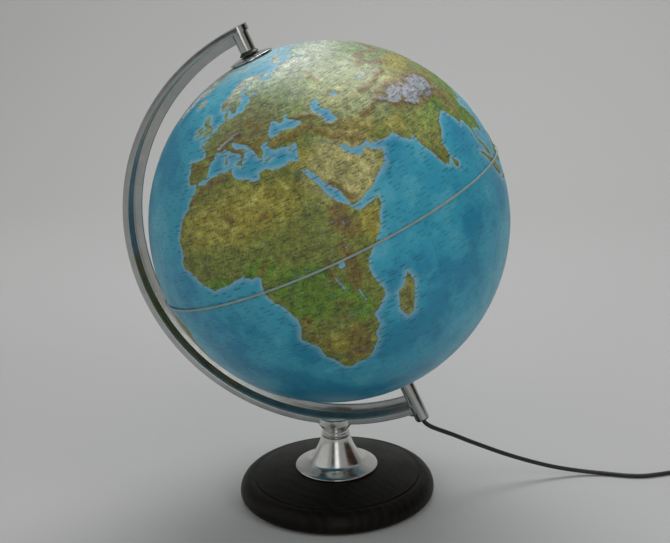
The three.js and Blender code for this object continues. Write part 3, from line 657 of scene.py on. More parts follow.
africa = """-6,36 -2,35 1,36.5 5,36.8 10,37.3 11,36.8 10.3,34.2 11.5,33.2 15.2,32.3 18,30.6 20,31 20,32.5 23,32.7
25,31.6 29,31 31,31.5 32.5,31.2 32.6,29.9 33.8,27.5 35.5,24 37,21 37.4,18.5 39.5,15.5 43,12.5 43.3,11.5 44.5,10.5
48,11.2 51.2,11.9 50.8,9.4 49,6.5 47.5,4 45,1.9 42,-1 40.2,-2.8 39,-5.5 39.5,-8 40.5,-11 40.7,-15 38,-17.2 35,-20
35.5,-23.5 32.8,-26 32.5,-28.5 30.5,-31 27.5,-33.3 25.5,-34 22,-34.1 20,-34.8 18.3,-34 18,-32 16.5,-28.7 15,-26.5
14.4,-22.5 12,-18 13.4,-14 13.6,-11 12.3,-6 9.5,-2.5 9,1 9.8,4 8.5,4.6 6.5,4.3 4.5,6.3 1,5.9 -2,4.8 -4.5,5.2 -7.6,4.4
-9.5,5.8 -12.5,7.5 -13.5,9.5 -15,11 -16.8,12.5 -17.4,14.7 -16.3,16.5 -16.3,19 -17,21 -16,23.8 -14.5,26 -13,27.8
-10,29.5 -9.7,31.3 -8,33.3 -6.8,34"""
eurasia = """-5.5,36 -6.5,37 -9,37 -9.4,38.8 -8.8,41 -9.2,43.2 -4,43.5 -1.6,43.4 -1.2,45.5 -2.5,47.3 -4.7,48.3
-1.7,48.7 -1.5,49.7 0.2,49.7 1.6,50.9 3.5,51.5 4.8,53 7,53.5 8.6,53.9 8.2,55.5 8.5,57 10.6,57.7 10.3,56.5 10,54.7
11,54 14,54 17,54.8 19.5,54.4 21,55.3 21,57 23.5,57.1 24.3,58 23.5,59.2 28,59.6 30,60 27,60.5 23,59.9 21.4,61 21.5,63
25,65 24,65.8 21.5,65 17.5,62 17.2,60.7 19,59.8 16.5,57.5 15.8,56.2 14.2,55.4 12.8,55.5 11.3,58.5 10.5,59.3 8,58.1
5.6,58.8 5,61.5 9,63.7 12.5,66 15,68.3 19,70 25.5,71 30,70.4 33,69.4 41,67.5 40.5,66.4 35,66.5 33,66.7 35,64.4 38,64
40,64.6 40,66 44,66.2 44,68.3 46,68.2 47,67 53,68.5 59,68.8 61,69.8 66,69 67,69 67,71.5 69,73 72.5,72.8 72.8,71
71.5,68.5 74,67 75,72 80,72.5 81,73.6 87,75 98,76 104,77.6 113,76 110,74 113,73.6 119,73 127,73 130,71 139,71.8
150,71.5 160,69.7 170,69.5 180,69 188,66.5 190,65.8 187,64.5 180,64.8 177,62.5 170,60 164,59.8 162.5,57 162,55
156.8,51 155.8,55.5 158,58 163,61.5 160,61.5 155,59.3 145,59.4 138,55 141,53.3 140.3,50 140,48 135.5,44 132,43.2
130,42 127.7,39.8 129.4,37 129,35.2 126.5,34.4 126.6,37 125,38.5 124.5,40 121.5,39 121.5,40.8 118,39 122.5,37
119.5,35 121.8,32 122,30 121,28 118.5,24.6 114,22.3 110.5,21.2 109.8,20.3 108,21.7 106,19.5 108.5,16 109.3,12.5
107,10.4 105,8.6 105,10.4 102.5,12 101,13 100,12 99.3,9.5 100.4,7 103.3,4 104,1.4 101.3,2.7 100.4,5.5 98.3,8 98.6,12
97.6,16 95,15.8 94.3,18 92,21.5 91,22.7 88.5,21.7 87,21.3 85,19.7 82.3,16.7 80.2,15 80.2,13 79.8,10.3 78,8.1
76.3,9.5 74.8,13 73,17 72.7,20 72.5,21.5 70.5,20.9 69,22.3 67.3,24.5 66.5,25.4 61.5,25.1 57.3,25.8 56.5,27.1
54,26.6 51.5,27.9 50,30 48.5,30 48,29.5 49,27.5 50.2,26.2 51.5,25.9 51.5,24.3 54,24.1 56,26 56.6,24.3 59.8,22.5
58.5,20.4 57.7,19 55.2,17.5 52.2,15.6 48,14 45,12.8 43.4,12.7 42.7,15.7 41,18.5 39,21.3 37.2,25 35,28 34.9,29.5
34.3,27.8 32.6,29.9 32.5,31.2 34.3,31.3 35,33 35.9,35.5 36,36.8 33,36 30.5,36.6 28,36.8 26.5,38.5 26.2,40 29.5,40.8
29,41.1 28,41 26,40.8 23.5,40.3 24,38 23,36.5 21.6,37 21,38.5 19.4,41 19.3,42 16,43.6 13.7,45 13.7,45.6 12.3,45.3
12.4,44.2 14,42.4 16,41.9 18.4,40.2 16.8,40.5 17,39 15.7,38 15.9,40 12.5,41.6 10.3,43.5 8.8,44.4 7,43.6 4.5,43.4
3,43.1 3,41.9 0.5,40.7 -0.3,39 -0.7,37.7 -2,36.8 -4.5,36.7"""
north_america = """-168,65.7 -162,66.2 -166,68.3 -157,71.2 -141,69.7 -135,69.3 -128,70 -115,68.2 -108,68 -101,67.7
-95,68 -94,71.5 -90,69 -88,67 -86.5,66.3 -94,61 -94.7,58.5 -92.5,57 -85,55.3 -82.3,55 -82.2,52.8 -79.5,51.3 -79,54.5
-76.6,57 -78.3,60 -78,62.4 -70,61 -69.5,58.8 -65,60.2 -62,57 -57,53.5 -56,51.5 -60,50.2 -66.5,50.2 -70,47.2 -65,48.9
-65,46.3 -61.5,45.8 -65.8,43.6 -67,44.8 -70.5,43.2 -70,41.7 -74,40.6 -75.7,37.5 -76,35.3 -79,33.4 -81.3,31 -80.1,27
-80.6,25.2 -82,27 -83,29.2 -85.3,29.8 -89.5,30.2 -90,29.1 -94,29.6 -97.2,27.5 -97.6,23 -96,19 -94.3,18.2 -91,18.7
-90.3,21 -87,21.5 -88,18 -88.5,15.8 -83.3,15 -83.6,11 -81.5,8.9 -79.7,9.5 -77.4,8.6 -77.6,7.5 -80,7.4 -83,8.3
-85.7,10 -87.6,13 -91.5,14 -94.5,16.2 -99.5,16.8 -105.4,20.4 -106,23 -109.4,26 -112.8,30 -114.7,31.7 -114,30
-110.3,24.3 -109.5,23.2 -112,25 -115,29 -117.2,32.8 -120.6,34.6 -122.5,37.5 -124.3,40.4 -124,46 -124.6,48.4
-122.6,48.9 -127,51 -130.3,54.5 -134,58 -139.5,59.7 -146,60.8 -150,59.5 -154,58.3 -160,55.6 -164.8,54.7 -158,57.8
-162,58.7 -165.5,61.5 -161,64.2"""
south_america = """-77.4,8.6 -75.6,10.8 -72,12 -71.5,11 -70,12 -68,10.7 -62,10.6 -60,8.5 -57,6 -52,4.8 -50,1 -48.5,-1
-44.5,-2.6 -40,-2.9 -37,-4.8 -35,-7 -35.3,-9.5 -38.5,-13 -39.2,-17.5 -41,-21.8 -44.5,-23.2 -48.5,-25.8 -48.8,-28.5
-52,-32.8 -54.8,-34.8 -58.3,-34 -57,-36.6 -62,-39 -65,-41 -63.8,-42.5 -66.5,-45.5 -66,-48 -69,-51 -68.4,-52.4
-65.3,-54.7 -69,-55.4 -73.5,-52.5 -75.5,-48 -73,-42 -73.5,-38 -71.5,-32 -70.3,-26 -70.3,-18.4 -76,-14 -79.5,-8
-81.3,-5 -80,-2.8 -80.9,-1.5 -80,0.8 -78,2.5 -77.4,5 -77.6,7.5"""
australia = """114,-22 113.6,-26 115.7,-32 115.1,-34.3 118,-35 123.5,-34 126,-32.3 131.3,-31.5 135.5,-34.8
137.8,-32.6 138.3,-35.6 140.5,-38 143.5,-38.8 146.3,-39 150,-37.4 151.5,-33 153.5,-28.5 153,-25 149.3,-21 146,-18.8
145.4,-15 142.6,-10.8 141.6,-14 140.8,-17.5 139,-17.4 135.5,-15 136.8,-12.2 132.5,-11.4 130,-13.3 129,-15
126.3,-14 122.2,-18 118.5,-20.3"""
antarctica = """-180,-78.5 -160,-78.5 -150,-77 -130,-74.5 -100,-73 -75,-73 -68,-69 -63,-65 -57,-63.3 -61,-66 -61,-74
-78,-78 -40,-78 -26,-76 -12,-71.5 10,-70 30,-69.5 40,-69 55,-66 70,-68.5 75,-69.8 85,-66.8 100,-66 120,-66.7 135,-66
150,-68.5 165,-70.7 170,-72 163,-77.5 180,-78.5 180,-91 -180,-91"""
islands = """-73,78.2 -62,82 -45,82.5 -32,83.5 -22,82.4 -18,80 -20,75 -24,71.5 -22,70.3 -32,68.2 -40,65 -43,60 -48,61 -53,65.5 -51,69.5 -55,72 -60,76 -68,76
-62,66.5 -68,63 -65,62 -78,64.5 -73,66.5 -73,68.3 -79,70 -88,70.8 -89,73.5 -80,73.7 -72,71.5 -67,69.5
-117,69.8 -105,69 -102,70.5 -105,73 -117,73
-125,72 -120,71.4 -121,74
-88,76.5 -78,76.5 -66,80.5 -62,82.6 -75,83 -91,81.5
-92,75 -80,74.7 -82,76
-59,47.8 -53,46.7 -55,51.4
-84.8,22 -80,23 -74.3,20.1 -77.5,19.9
-74.4,18.4 -72,20 -68.5,18.6 -71.5,17.8
-24,65.5 -22,66.4 -16,66.5 -13.8,65 -18.5,63.4 -22.5,64
-5.6,50.1 -3,50.7 1.3,51.2 1.6,52.7 0.2,53 -1.5,55 -2,57.6 -3.2,58.6 -5,58.5 -5.7,56.5 -4.8,54.8 -3,54 -4.5,53.2 -4.5,52 -5,51.6 -3,51.4
-10,51.7 -6.3,52.2 -6,53.5 -5.6,54.6 -7.5,55.3 -10,54
11,79.5 17,76.6 27,80.2
52,71 57,70.6 69,76.8 60,76 53,73
95,79 105,78.5 98,81
138,75.8 150,75.2 143,73.4
12.5,38 15.6,38.2 15.1,36.7
8.3,39 9.7,39.2 9.3,41.2
8.6,41.5 9.4,41.6 9.4,43
23.5,35.5 26.3,35.2 24.7,34.9
32.3,35 34.6,35.6 33,34.6
49.3,-12 50.4,-15.5 47.2,-24.8 45,-25.4 43.3,-22 44.4,-16.3 47,-15.3
80,9.7 81.8,7.5 80.6,6 79.8,7.5
95.3,5.6 98,4.3 103.5,0 106,-3 105.8,-5.8 102.3,-4 98.7,1.7
105.2,-6.8 108.5,-6.7 114.4,-7.8 114.3,-8.7 108,-7.8
109,1.5 111.5,2.4 116.8,7 119,5 117.8,1 116,-3.8 110.2,-2.9
119,-5.5 119,-1 120.8,1.2 125,1.5 120.5,0.4 123.3,-1 121.5,-2 122.8,-4.7 120.5,-3
131,-0.8 134,-0.8 135.2,-3.3 141,-2.6 147,-6 150.8,-10.3 146,-8.5 143,-9.2 138.5,-8.3 137.8,-5.3 132.8,-4
120.3,16 120.8,18.5 122.2,18.4 121.6,15.9 124,12.7 120.6,14
122,7 125.5,9.7 126.4,7 125.4,5.7
122,10.5 125,12.5 124.8,10
120.2,23 121.6,25.3 120.9,22
108.7,19.3 110.6,20 110.2,18.4
131,34.2 133.2,35.5 136,36 137.2,37.4 139.6,38.4 140,40.5 141.3,41.4 142,39.5 140.9,37 140.7,35.7 138.8,34.7 135.8,33.5 132.3,33.9
129.8,33.2 131.5,33.6 134.6,34.2 133,32.8 131.3,31.4 130.2,31.2
140,42 141.7,45.4 145.3,43.3 143.2,42
142,46 142,52 142.7,54.3 144.5,49 143.2,46.7
144.7,-40.8 148.3,-40.9 147,-43.5
172.8,-34.5 178.5,-37.7 177,-39.4 175.3,-41.6 173.8,-39.3 174.8,-37
172.7,-40.6 174.2,-41.7 170.8,-45.9 168.5,-46.6 166.5,-45.9 170,-43"""
lakes = """28,41.6 28,43.4 29.5,45 30.8,46.5 33,46 33.5,44.7 35.5,45 36,46.5 39,47.2 38,46 37,45.2 39,44 41.5,42.5 41.5,41.5 38.5,41 36,41.5 33.5,42 31.3,41.2 29.2,41.2
47.5,45 49,46.5 52.5,46.8 53,45.2 51,44.6 52,42.5 54,41 53,39.5 54,37.2 50.5,37 49,38 49.3,40.3 47.7,42.8
58.5,44.5 58.5,46.2 61,46.5 61,44.5
31.8,-1 32,-2.4 33.8,-2 34,-0.2 32.5,0.2
29.2,-3.5 29.7,-3.5 31.1,-8.5 30.5,-8.6
34,-9.6 34.6,-9.7 35.2,-14 34.6,-14
13.6,12.8 14.8,13.7 15,12.8
104,51.5 108.5,53 110,55.5 109,55.3 105.5,52
74,45 79,46.8 74.5,46.6
-92,46.8 -88.5,48.5 -84.8,47 -87,46.6
-87.8,42 -88,44.5 -85,46 -86.3,43.5 -87,41.8
-84,46 -80.5,45.5 -82,43.2 -83.5,44.2
-83.2,41.6 -79,42.8 -81.5,41.6
-79.6,43.3 -76.3,44 -77,43.3
-124,66 -120,67 -118,65.5 -122,65
-117,61.2 -110,62.8 -114,61
-99,53.5 -98,51 -96.5,51 -98,54
30.5,60.2 32.5,60.5 31,61.7
12.5,58.8 14,58.6 13.5,59.3
36,4.4 36.5,2.5 35.8,2.7
30.6,1.2 31.4,2.2 31,1.3"""
land_outlines = [degrees_list(t) for t in (africa, eurasia, north_america, south_america, australia, antarctica)]
land_outlines += [degrees_list(line) for line in islands.splitlines()]
lake_outlines = [degrees_list(line) for line in lakes.splitlines()]
print(len(land_outlines), "lands,", len(lake_outlines), "lakes,", sum(map(len, land_outlines)), "shore points")

# %% [markdown]
# ## Mountains, dry lands and rivers
# Height comes from ridge lines: each has a height, a width and a few points. The colour of low land comes from how
# dry it is, given by a few soft ovals, and cold high land turns pale. Rivers are thin blue lines.

# %% Ridges, dry and wet areas, rivers
ridges = """.75 1.3:6,44.5 8,46 12,47 15,47.2
.5 .8:-1.5,43 2.5,42.5
.4 1:18,49.3 22,49 25,47.5 26,45.6 22.5,45.3
.45 1.2:15,45 19,43 21,41 22,39
.35 .7:9,44.3 13.5,42.5 16,40.3
.4 1.6:-6,40.5 -2,40.5
.55 1.6:7,60.5 10,62.5 14,65.5 19,68.5
.4 1:59,52 59,58 60,63 66,68
.58 1:39,44 43,43.2 47,41.5
.42 2:29,39 33,38.5 38,39 43,39.5
.46 1.8:45,37 47,34 51,31.5 56,28.5
.55 .8:48,37.5 51,36 55,36.8
.32 3.2:52,34 57,33 60,31
.52 1.6:63,34.5 68,35 72,36.5
.80 1.6:73,36 78,32.5 83,29.5 88,28 95,28.8
.60 1.8:75,38 82,36 90,36 98,36
1.0 5.0:80,34.5 85,33.2 91,33.4 97,33
.50 1.4:70,41.5 76,42 82,43 88,43.5
.5 1.8:84,50.5 88,49.5 93,47 98,46
.5 1.8:90,52.5 97,53 104,51.5
.45 2:108,51.5 117,55 128,56 134,57
.5 2:127,68 130,64.5 138,62 142,60
.5 1.8:140,67 148,64.5 158,64 165,66
.5 .8:158,53 161,57.5
.6 1.5:98,29 99,25 98,20
.45 2.5:103,27 105,25
.4 1.2:104,34 110,33.7
.35 .9:103.5,19.5 106,16.5 108,13
.4 .6:74,19 75.5,13 77,9.5
.25 2:78.5,13 78,18 81,19
.55 1.1:40,21 42.5,17.5 44.5,14.5
.22 4:43,24 46,22
.4 .6:56.3,24.8 58.5,23
.6 1.2:-8.5,31 -5,33 0,34.3 8,35.3
.45 1.6:5,23.5 6.5,22.5
.5 1.3:17,20.5 18.5,21
.3 1:8.5,18.5 9,17
.35 1:24,13.5 24.3,12.5
.42 1:9.5,4.5 11,6.5 13.5,8
.3 1.2:-11.5,10.5 -8.5,8.5
.62 3.3:38.5,13.5 38,9.5 39.5,7.5
.56 2.2:35.5,3 36,-1 35.5,-5 34.5,-8.5
.55 .9:29.8,1.5 29,-3
.33 2.6:27,-11 31,-13
.42 2:14.5,-15.5 16,-12.5
.45 1.3:15.5,-19 17,-23.5
.62 1.2:30.5,-25 29,-29 27,-31
.44 4.2:25,-30 27,-27 28,-23
.38 1.5:30,-19 28.5,-20
.4 .8:47.5,-15.5 47,-22
.9 1.6:-72,10 -73,7 -76.5,2.5 -78.5,-2 -77,-9 -73,-13.5 -69.5,-17 -67.5,-22 -69,-28 -70.3,-34 -71.5,-41 -73,-48
.8 2:-69,-16 -67,-21
.28 3:-47,-16 -44,-20
.3 2:-65,4.5 -60,5
.65 2:-153,62.5 -146,62.5 -138,61 -130,57.5 -122,52.5 -115,48.5 -110,44.5 -106,39.5 -105.5,36
.5 3:-116,43 -114,39 -111,36
.5 .9:-121.5,48.5 -122,43 -119,37 -117,34
.55 2:-108,30 -105,25 -102,21 -98,18.5
.35 .6:-91,15 -85,13 -83,9.5
.35 1:-84,35 -80,38.5 -75.5,42 -71,44.5
.9 6:-42,77 -40,70 -44,64
.35 1:-70,66 -76,72
.35 1:145,-17 150,-24 152,-29 149,-35 147,-37
.2 3:118,-24 122,-28
.7 1:136,-4 142,-5.5 147,-8
.4 1.2:114,2 116,5
.4 .7:97,4 101,-1 104,-4.5
.4 .7:137,35.5 140,38.5
.55 .6:168,-45 172,-42.5
.95 12:0,-84 90,-80 150,-82"""
dry_areas = """8,23,24,8 46,23,9,9 57,32,8,4.5 70,27,4,3 62,43,13,5 83,39.5,8,2.5 103,43,12,4 21,-24,4,4 46,6,4,5
130,-25,14,7 -110,33,7,6 -69,-43,4,8 -69,-22,3,7 35,31,5,3"""
wet_areas = """20,-1,10,5 21,-8,9,6 -62,-5,13,8 103,14,6,7 113,0,9,5 10,6,6,3 -6,6,7,2.5 83,23,5,3 90,25,4,3 28,-10,8,4
141,-5,7,3 112,26,8,5 -84,33,8,6 20,52,18,5 74,12,2,6 33,-15,4,5"""
rivers = """32.5,-1 31.5,3 32,9.5 33,16 31,19 33,25 31,30
37,11.5 35,10.5 33.5,14
27,-10 26,0 22,2 18,0 16,-4 12.5,-6
-10,10 -4,15.5 0,17 4,12 6.3,5
24,-14 25,-18 31,-15.7 36.2,-18.5
28.5,-29 24,-29.3 17,-28.6
33,57 44,56.5 49,55.5 46,50 47.8,46
9,48 17,48 19,46 22,44.5 28,44.5 29.5,45.2
31,54.5 31,50.5 34.5,48 33,46.6
39,52 42,49 39,47
39,38.5 40,35.3 44,32.5 48,30.3
40.5,38 43,36 45,32.5
80,32 74.5,35.3 71.5,32 68,26 67.5,24
78,30 83,25.5 88,24.5 90.5,22.7
83,30 94,29.5 91,26 90,23.5
85,52 77,59 68,61.5 66.5,66.5 72,67
92,52 92,60 87,66 82.5,71
106,54 120,60.5 129,63.5 124,68 127,72.5
116,50 127,49 135,48.5 140,53
72,37.3 65,37.8 60.5,42 59,44
75,41 66,43.5 61,46
97,35 104,37 110,40 112,35 118,37.5
92,33 98,28 107,29 112,30 121,31.5
95,31 100,25 103,18 105.5,11
-113,46 -104,48 -96,42 -90,38.5 -91,33 -90,29.5
-120,62 -126,65 -134,69
-139,62 -150,65.5 -163,62.5
-76,-9 -73,-4 -60,-3 -52,-1.5
-54,-15 -57,-20 -58,-27 -58.5,-34
-65,3 -67,6 -61,8.5
150,-34 143,-34.5 139,-35.5
-92,42 -90,38.5"""
ridge_lines = []
for line in ridges.splitlines():
    facts, points = line.split(":")
    ridge_lines.append((*map(float, facts.split()), degrees_list(points)))
river_lines = [degrees_list(line) for line in rivers.splitlines()]
print(len(ridge_lines), "ridges,", len(river_lines), "rivers")

# %% [markdown]
# ## From outlines to a surface
# The ball is built as rings of points, four more in each ring than in the one nearer the pole, which keeps the
# triangles almost equal. A flat test in longitude and latitude tells land from sea, and a distance to each nearby
# piece of coast tells how far the edge is. Stored as a number on each point, that distance lets the shader draw
# an edge much finer than the triangles are.

# %% Distances and noise
def lattice_noise(points, scale, seed):
    """Smooth noise between -1 and 1 at points on the ball, the same on every run."""
    p = points * scale + 100.0
    cell = np.floor(p).astype(np.int64)
    f = p - cell
    f = f * f * (3 - 2 * f)
    total = np.zeros(len(p))
    for corner in range(8):
        d = np.array([corner & 1, corner >> 1 & 1, corner >> 2 & 1])
        q = cell + d
        h = (q[:, 0] * 73856093) ^ (q[:, 1] * 19349663) ^ (q[:, 2] * 83492791) ^ (seed * 2654435761)
        h = (h ^ (h >> 13)) * 1274126177 & 0xFFFFFFFF
        value = ((h ^ (h >> 16)) & 0xFFFF) / 32767.5 - 1
        total += value * np.prod(np.where(d == 1, f, 1 - f), axis=1)
    return total


def fractal(points, scale, seed, octaves=4, fall=0.5):
    return sum(lattice_noise(points, scale * 2**i, seed + i) * fall**i for i in range(octaves))


def line_distance(lon, lat, line, reach, closed=False):
    """Distance in degrees to a line on the ball, where it is nearer than reach."""
    best = np.full(len(lon), reach)
    ends = np.vstack([line, line[:1]]) if closed else line
    for (lon_a, lat_a), (lon_b, lat_b) in zip(ends, ends[1:]):
        for wrap in (0, 360) if max(lon_a, lon_b) > 178 else (0,):
            squeeze = max(math.cos(math.radians((lat_a + lat_b) / 2)), 0.12)
            low, high = sorted((lat_a, lat_b))
            west, east = sorted((lon_a, lon_b))
            near = np.flatnonzero(
                (lat > low - reach) & (lat < high + reach)
                & (lon + wrap > west - reach / squeeze) & (lon + wrap < east + reach / squeeze)
            )
            if not len(near):
                continue
            x, y = (lon[near] + wrap - lon_a) * squeeze, lat[near] - lat_a
            dx, dy = (lon_b - lon_a) * squeeze, lat_b - lat_a
            t = np.clip((x * dx + y * dy) / (dx * dx + dy * dy + 1e-12), 0, 1)
            best[near] = np.minimum(best[near], np.hypot(x - t * dx, y - t * dy))
    return best


def inside(lon, lat, outline):
    """Whether each place is inside an outline in longitude and latitude."""
    odd = np.zeros(len(lon), bool)
    for wrap in (0, 360) if outline[:, 0].max() > 180.5 else (0,):
        for (lon_a, lat_a), (lon_b, lat_b) in zip(outline, np.roll(outline, -1, axis=0)):
            if lat_a == lat_b:
                continue
            crosses = (lat_a > lat) != (lat_b > lat)
            odd ^= crosses & (lon + wrap < (lon_b - lon_a) * (lat - lat_a) / (lat_b - lat_a) + lon_a)
    return odd


def smooth_between(value, low, high):
    t = np.clip((value - low) / (high - low), 0, 1)
    return t * t * (3 - 2 * t)


MID_LONGITUDE = 20.76
COAST_REACH = 6.0


def map_facts(unit):
    """What the map says at each point of the unit ball, whose Z is north: coast, height, river, dryness."""
    lat = np.degrees(np.arcsin(np.clip(unit[:, 2], -1, 1)))
    lon = np.degrees(np.arctan2(unit[:, 0], -unit[:, 1])) + MID_LONGITUDE
    lon = (lon + 180) % 360 - 180
    bend = np.maximum(np.cos(np.radians(lat)), 0.15)
    lon_bent = lon + (0.55 * fractal(unit, 13, 3) + 0.22 * fractal(unit, 60, 5)) / bend
    lat_bent = lat + 0.55 * fractal(unit, 13, 7) + 0.22 * fractal(unit, 60, 9)
    land = np.zeros(len(lat), bool)
    coast = np.full(len(lat), COAST_REACH)
    for outline in land_outlines:
        small = len(outline) < 9
        x, y = (0.4 * lon_bent + 0.6 * lon, 0.4 * lat_bent + 0.6 * lat) if small else (lon_bent, lat_bent)
        land |= inside(x, y, outline)
        coast = np.minimum(coast, line_distance(x, y, outline, COAST_REACH, closed=True))
    for outline in lake_outlines:
        x, y = 0.35 * lon_bent + 0.65 * lon, 0.35 * lat_bent + 0.65 * lat
        land &= ~inside(x, y, outline)
        coast = np.minimum(coast, line_distance(x, y, outline, COAST_REACH, closed=True))
    coast = np.where(land, coast, -coast)
    crags = 1 - np.abs(fractal(unit, 26, 21, 4, 0.55))
    height = np.zeros(len(lat))
    for level, width, line in ridge_lines:
        reach = 2.4 * width
        away = line_distance(lon_bent, lat_bent, line, reach)
        height = np.maximum(height, level * np.exp(-((away / width) ** 2)) * (away < reach))
    height = height * (0.62 + 0.38 * crags) + 0.06 * np.maximum(fractal(unit, 9, 31), 0)
    river = np.full(len(lat), 2.0)
    for line in river_lines:
        river = np.minimum(river, line_distance(lon_bent, lat_bent, line, 2.0))

    def ovals(text):
        most = np.zeros(len(lat))
        for item in text.split():
            x, y, wide, tall = map(float, item.split(","))
            d = ((lon_bent - x + 180) % 360 - 180) / wide
            most = np.maximum(most, 1 - smooth_between(np.hypot(d, (lat_bent - y) / tall), 0.55, 1.35))
        return most

    dry = ovals(dry_areas) * (1 - 0.4 * ovals(wet_areas))
    wet = ovals(wet_areas) * (1 - dry)
    return lon, lat, coast, height, river, dry, wet


print("noise at one point", lattice_noise(np.array([[0.3, 0.2, 0.9]]), 13, 3))

# %% [markdown]
# ## Map colours
# The printed inks are few: blue seas that pale over the shelf, green and ochre lowland, brown mountains, a grey
# violet for the highest ground and near white for ice. They are mixed at each point and stored as two colours, one
# for land and one for sea, so the shader can cut sharply between them at the coast.

# %% Colours on the ball
def ink(red, green, blue):
    """A printed colour, from 0-255 screen values to the linear values that the shader wants."""
    c = np.array([red, green, blue]) / 255
    return np.where(c < 0.04045, c / 12.92, ((c + 0.055) / 1.055) ** 2.4)


def mixed(a, b, share):
    return a + (b - a) * share[:, None]


def around(unit, lon, lat, near, far):
    """1 close to a place on the map, 0 beyond the far angle."""
    lon, lat = math.radians(lon - MID_LONGITUDE), math.radians(lat)
    place = np.array([math.cos(lat) * math.sin(lon), -math.cos(lat) * math.cos(lon), math.sin(lat)])
    return 1 - smooth_between(np.degrees(np.arccos(np.clip(unit @ place, -1, 1))), near, far)


def land_ink(unit, lat, height, dry, wet):
    mottle = fractal(unit, 30, 41, 4, 0.6)
    tone = mixed(np.tile(ink(124, 132, 64), (len(lat), 1)), ink(162, 154, 70), dry)
    tone = mixed(tone, ink(102, 136, 52), np.clip(wet + 0.15 * mottle, 0, 1))
    tone = mixed(tone, ink(132, 152, 106), smooth_between(np.abs(lat), 42, 54) * (1 - dry))
    tone = mixed(tone, ink(176, 172, 104), smooth_between(mottle, 0.2, 0.9) * 0.45 * dry)
    for spot, pale, share in (
        ((47, 23, 7, 15), ink(186, 180, 124), 0.75), ((68, 47, 8, 20), ink(168, 178, 134), 0.7),
        ((79, 20, 6, 13), ink(152, 160, 92), 0.5), ((46, -19, 3, 9), ink(150, 152, 96), 0.5),
        ((20, 48, 6, 15), ink(122, 112, 66), 0.6),
    ):
        tone = mixed(tone, pale, around(unit, *spot) * share)
    tone = mixed(tone, ink(132, 112, 58), smooth_between(height, 0.14, 0.36) * 0.80)
    tone = mixed(tone, ink(96, 74, 44), smooth_between(height, 0.36, 0.66) * 0.85)
    tone = mixed(tone, ink(166, 172, 180), smooth_between(height, 0.52, 0.72) * 0.9)
    tone = mixed(tone, ink(196, 208, 192), smooth_between(lat, 56, 68) * 0.8)
    ice = np.maximum(smooth_between(-lat, 62, 66), smooth_between(height, 0.5, 0.7) * smooth_between(lat, 58, 64))
    tone = mixed(tone, ink(214, 224, 226), ice)
    return tone * (1 + 0.24 * mottle)[:, None]


def sea_ink(unit, coast, lat):
    depth = fractal(unit, 5.5, 51, 5, 0.55)
    tone = mixed(np.tile(ink(58, 158, 186), (len(lat), 1)), ink(36, 136, 170), smooth_between(depth, -0.1, 0.7))
    tone = mixed(tone, ink(92, 180, 200), smooth_between(-depth, 0.25, 0.8) * 0.6)
    shelf = 1 - smooth_between(-coast, 0.15, 2.0 + 1.0 * np.clip(depth, -1, 1))
    tone = mixed(tone, ink(140, 184, 204), shelf * 0.55)
    return mixed(tone, ink(168, 206, 216), smooth_between(np.abs(lat), 66, 82) * 0.8)


# %% Half shells with the map on them
GLOBE_R = 0.150
SEA_R = 0.14925
WALL = 0.002
RINGS = 210


def ring_points(angles, count_of):
    """Unit points of rings at the given angles from the pole."""
    made = []
    for angle, count in zip(angles, count_of):
        around = 2 * math.pi * np.arange(count) / count
        flat = np.stack([np.cos(around), np.sin(around), np.zeros(count)], 1) * math.sin(angle)
        made.append(flat + [0, 0, math.cos(angle)])
    return made


def bridge(first_a, count_a, first_b, count_b):
    """Triangles between two rings that have different numbers of points."""
    made, a, b = [], 0, 0
    while a < count_a or b < count_b:
        if b == count_b or (a < count_a and (a + 1) * count_b <= (b + 1) * count_a):
            made.append((first_a + a % count_a, first_b + b % count_b, first_a + (a + 1) % count_a))
            a += 1
        else:
            made.append((first_a + a % count_a, first_b + b % count_b, first_b + (b + 1) % count_b))
            b += 1
    return made


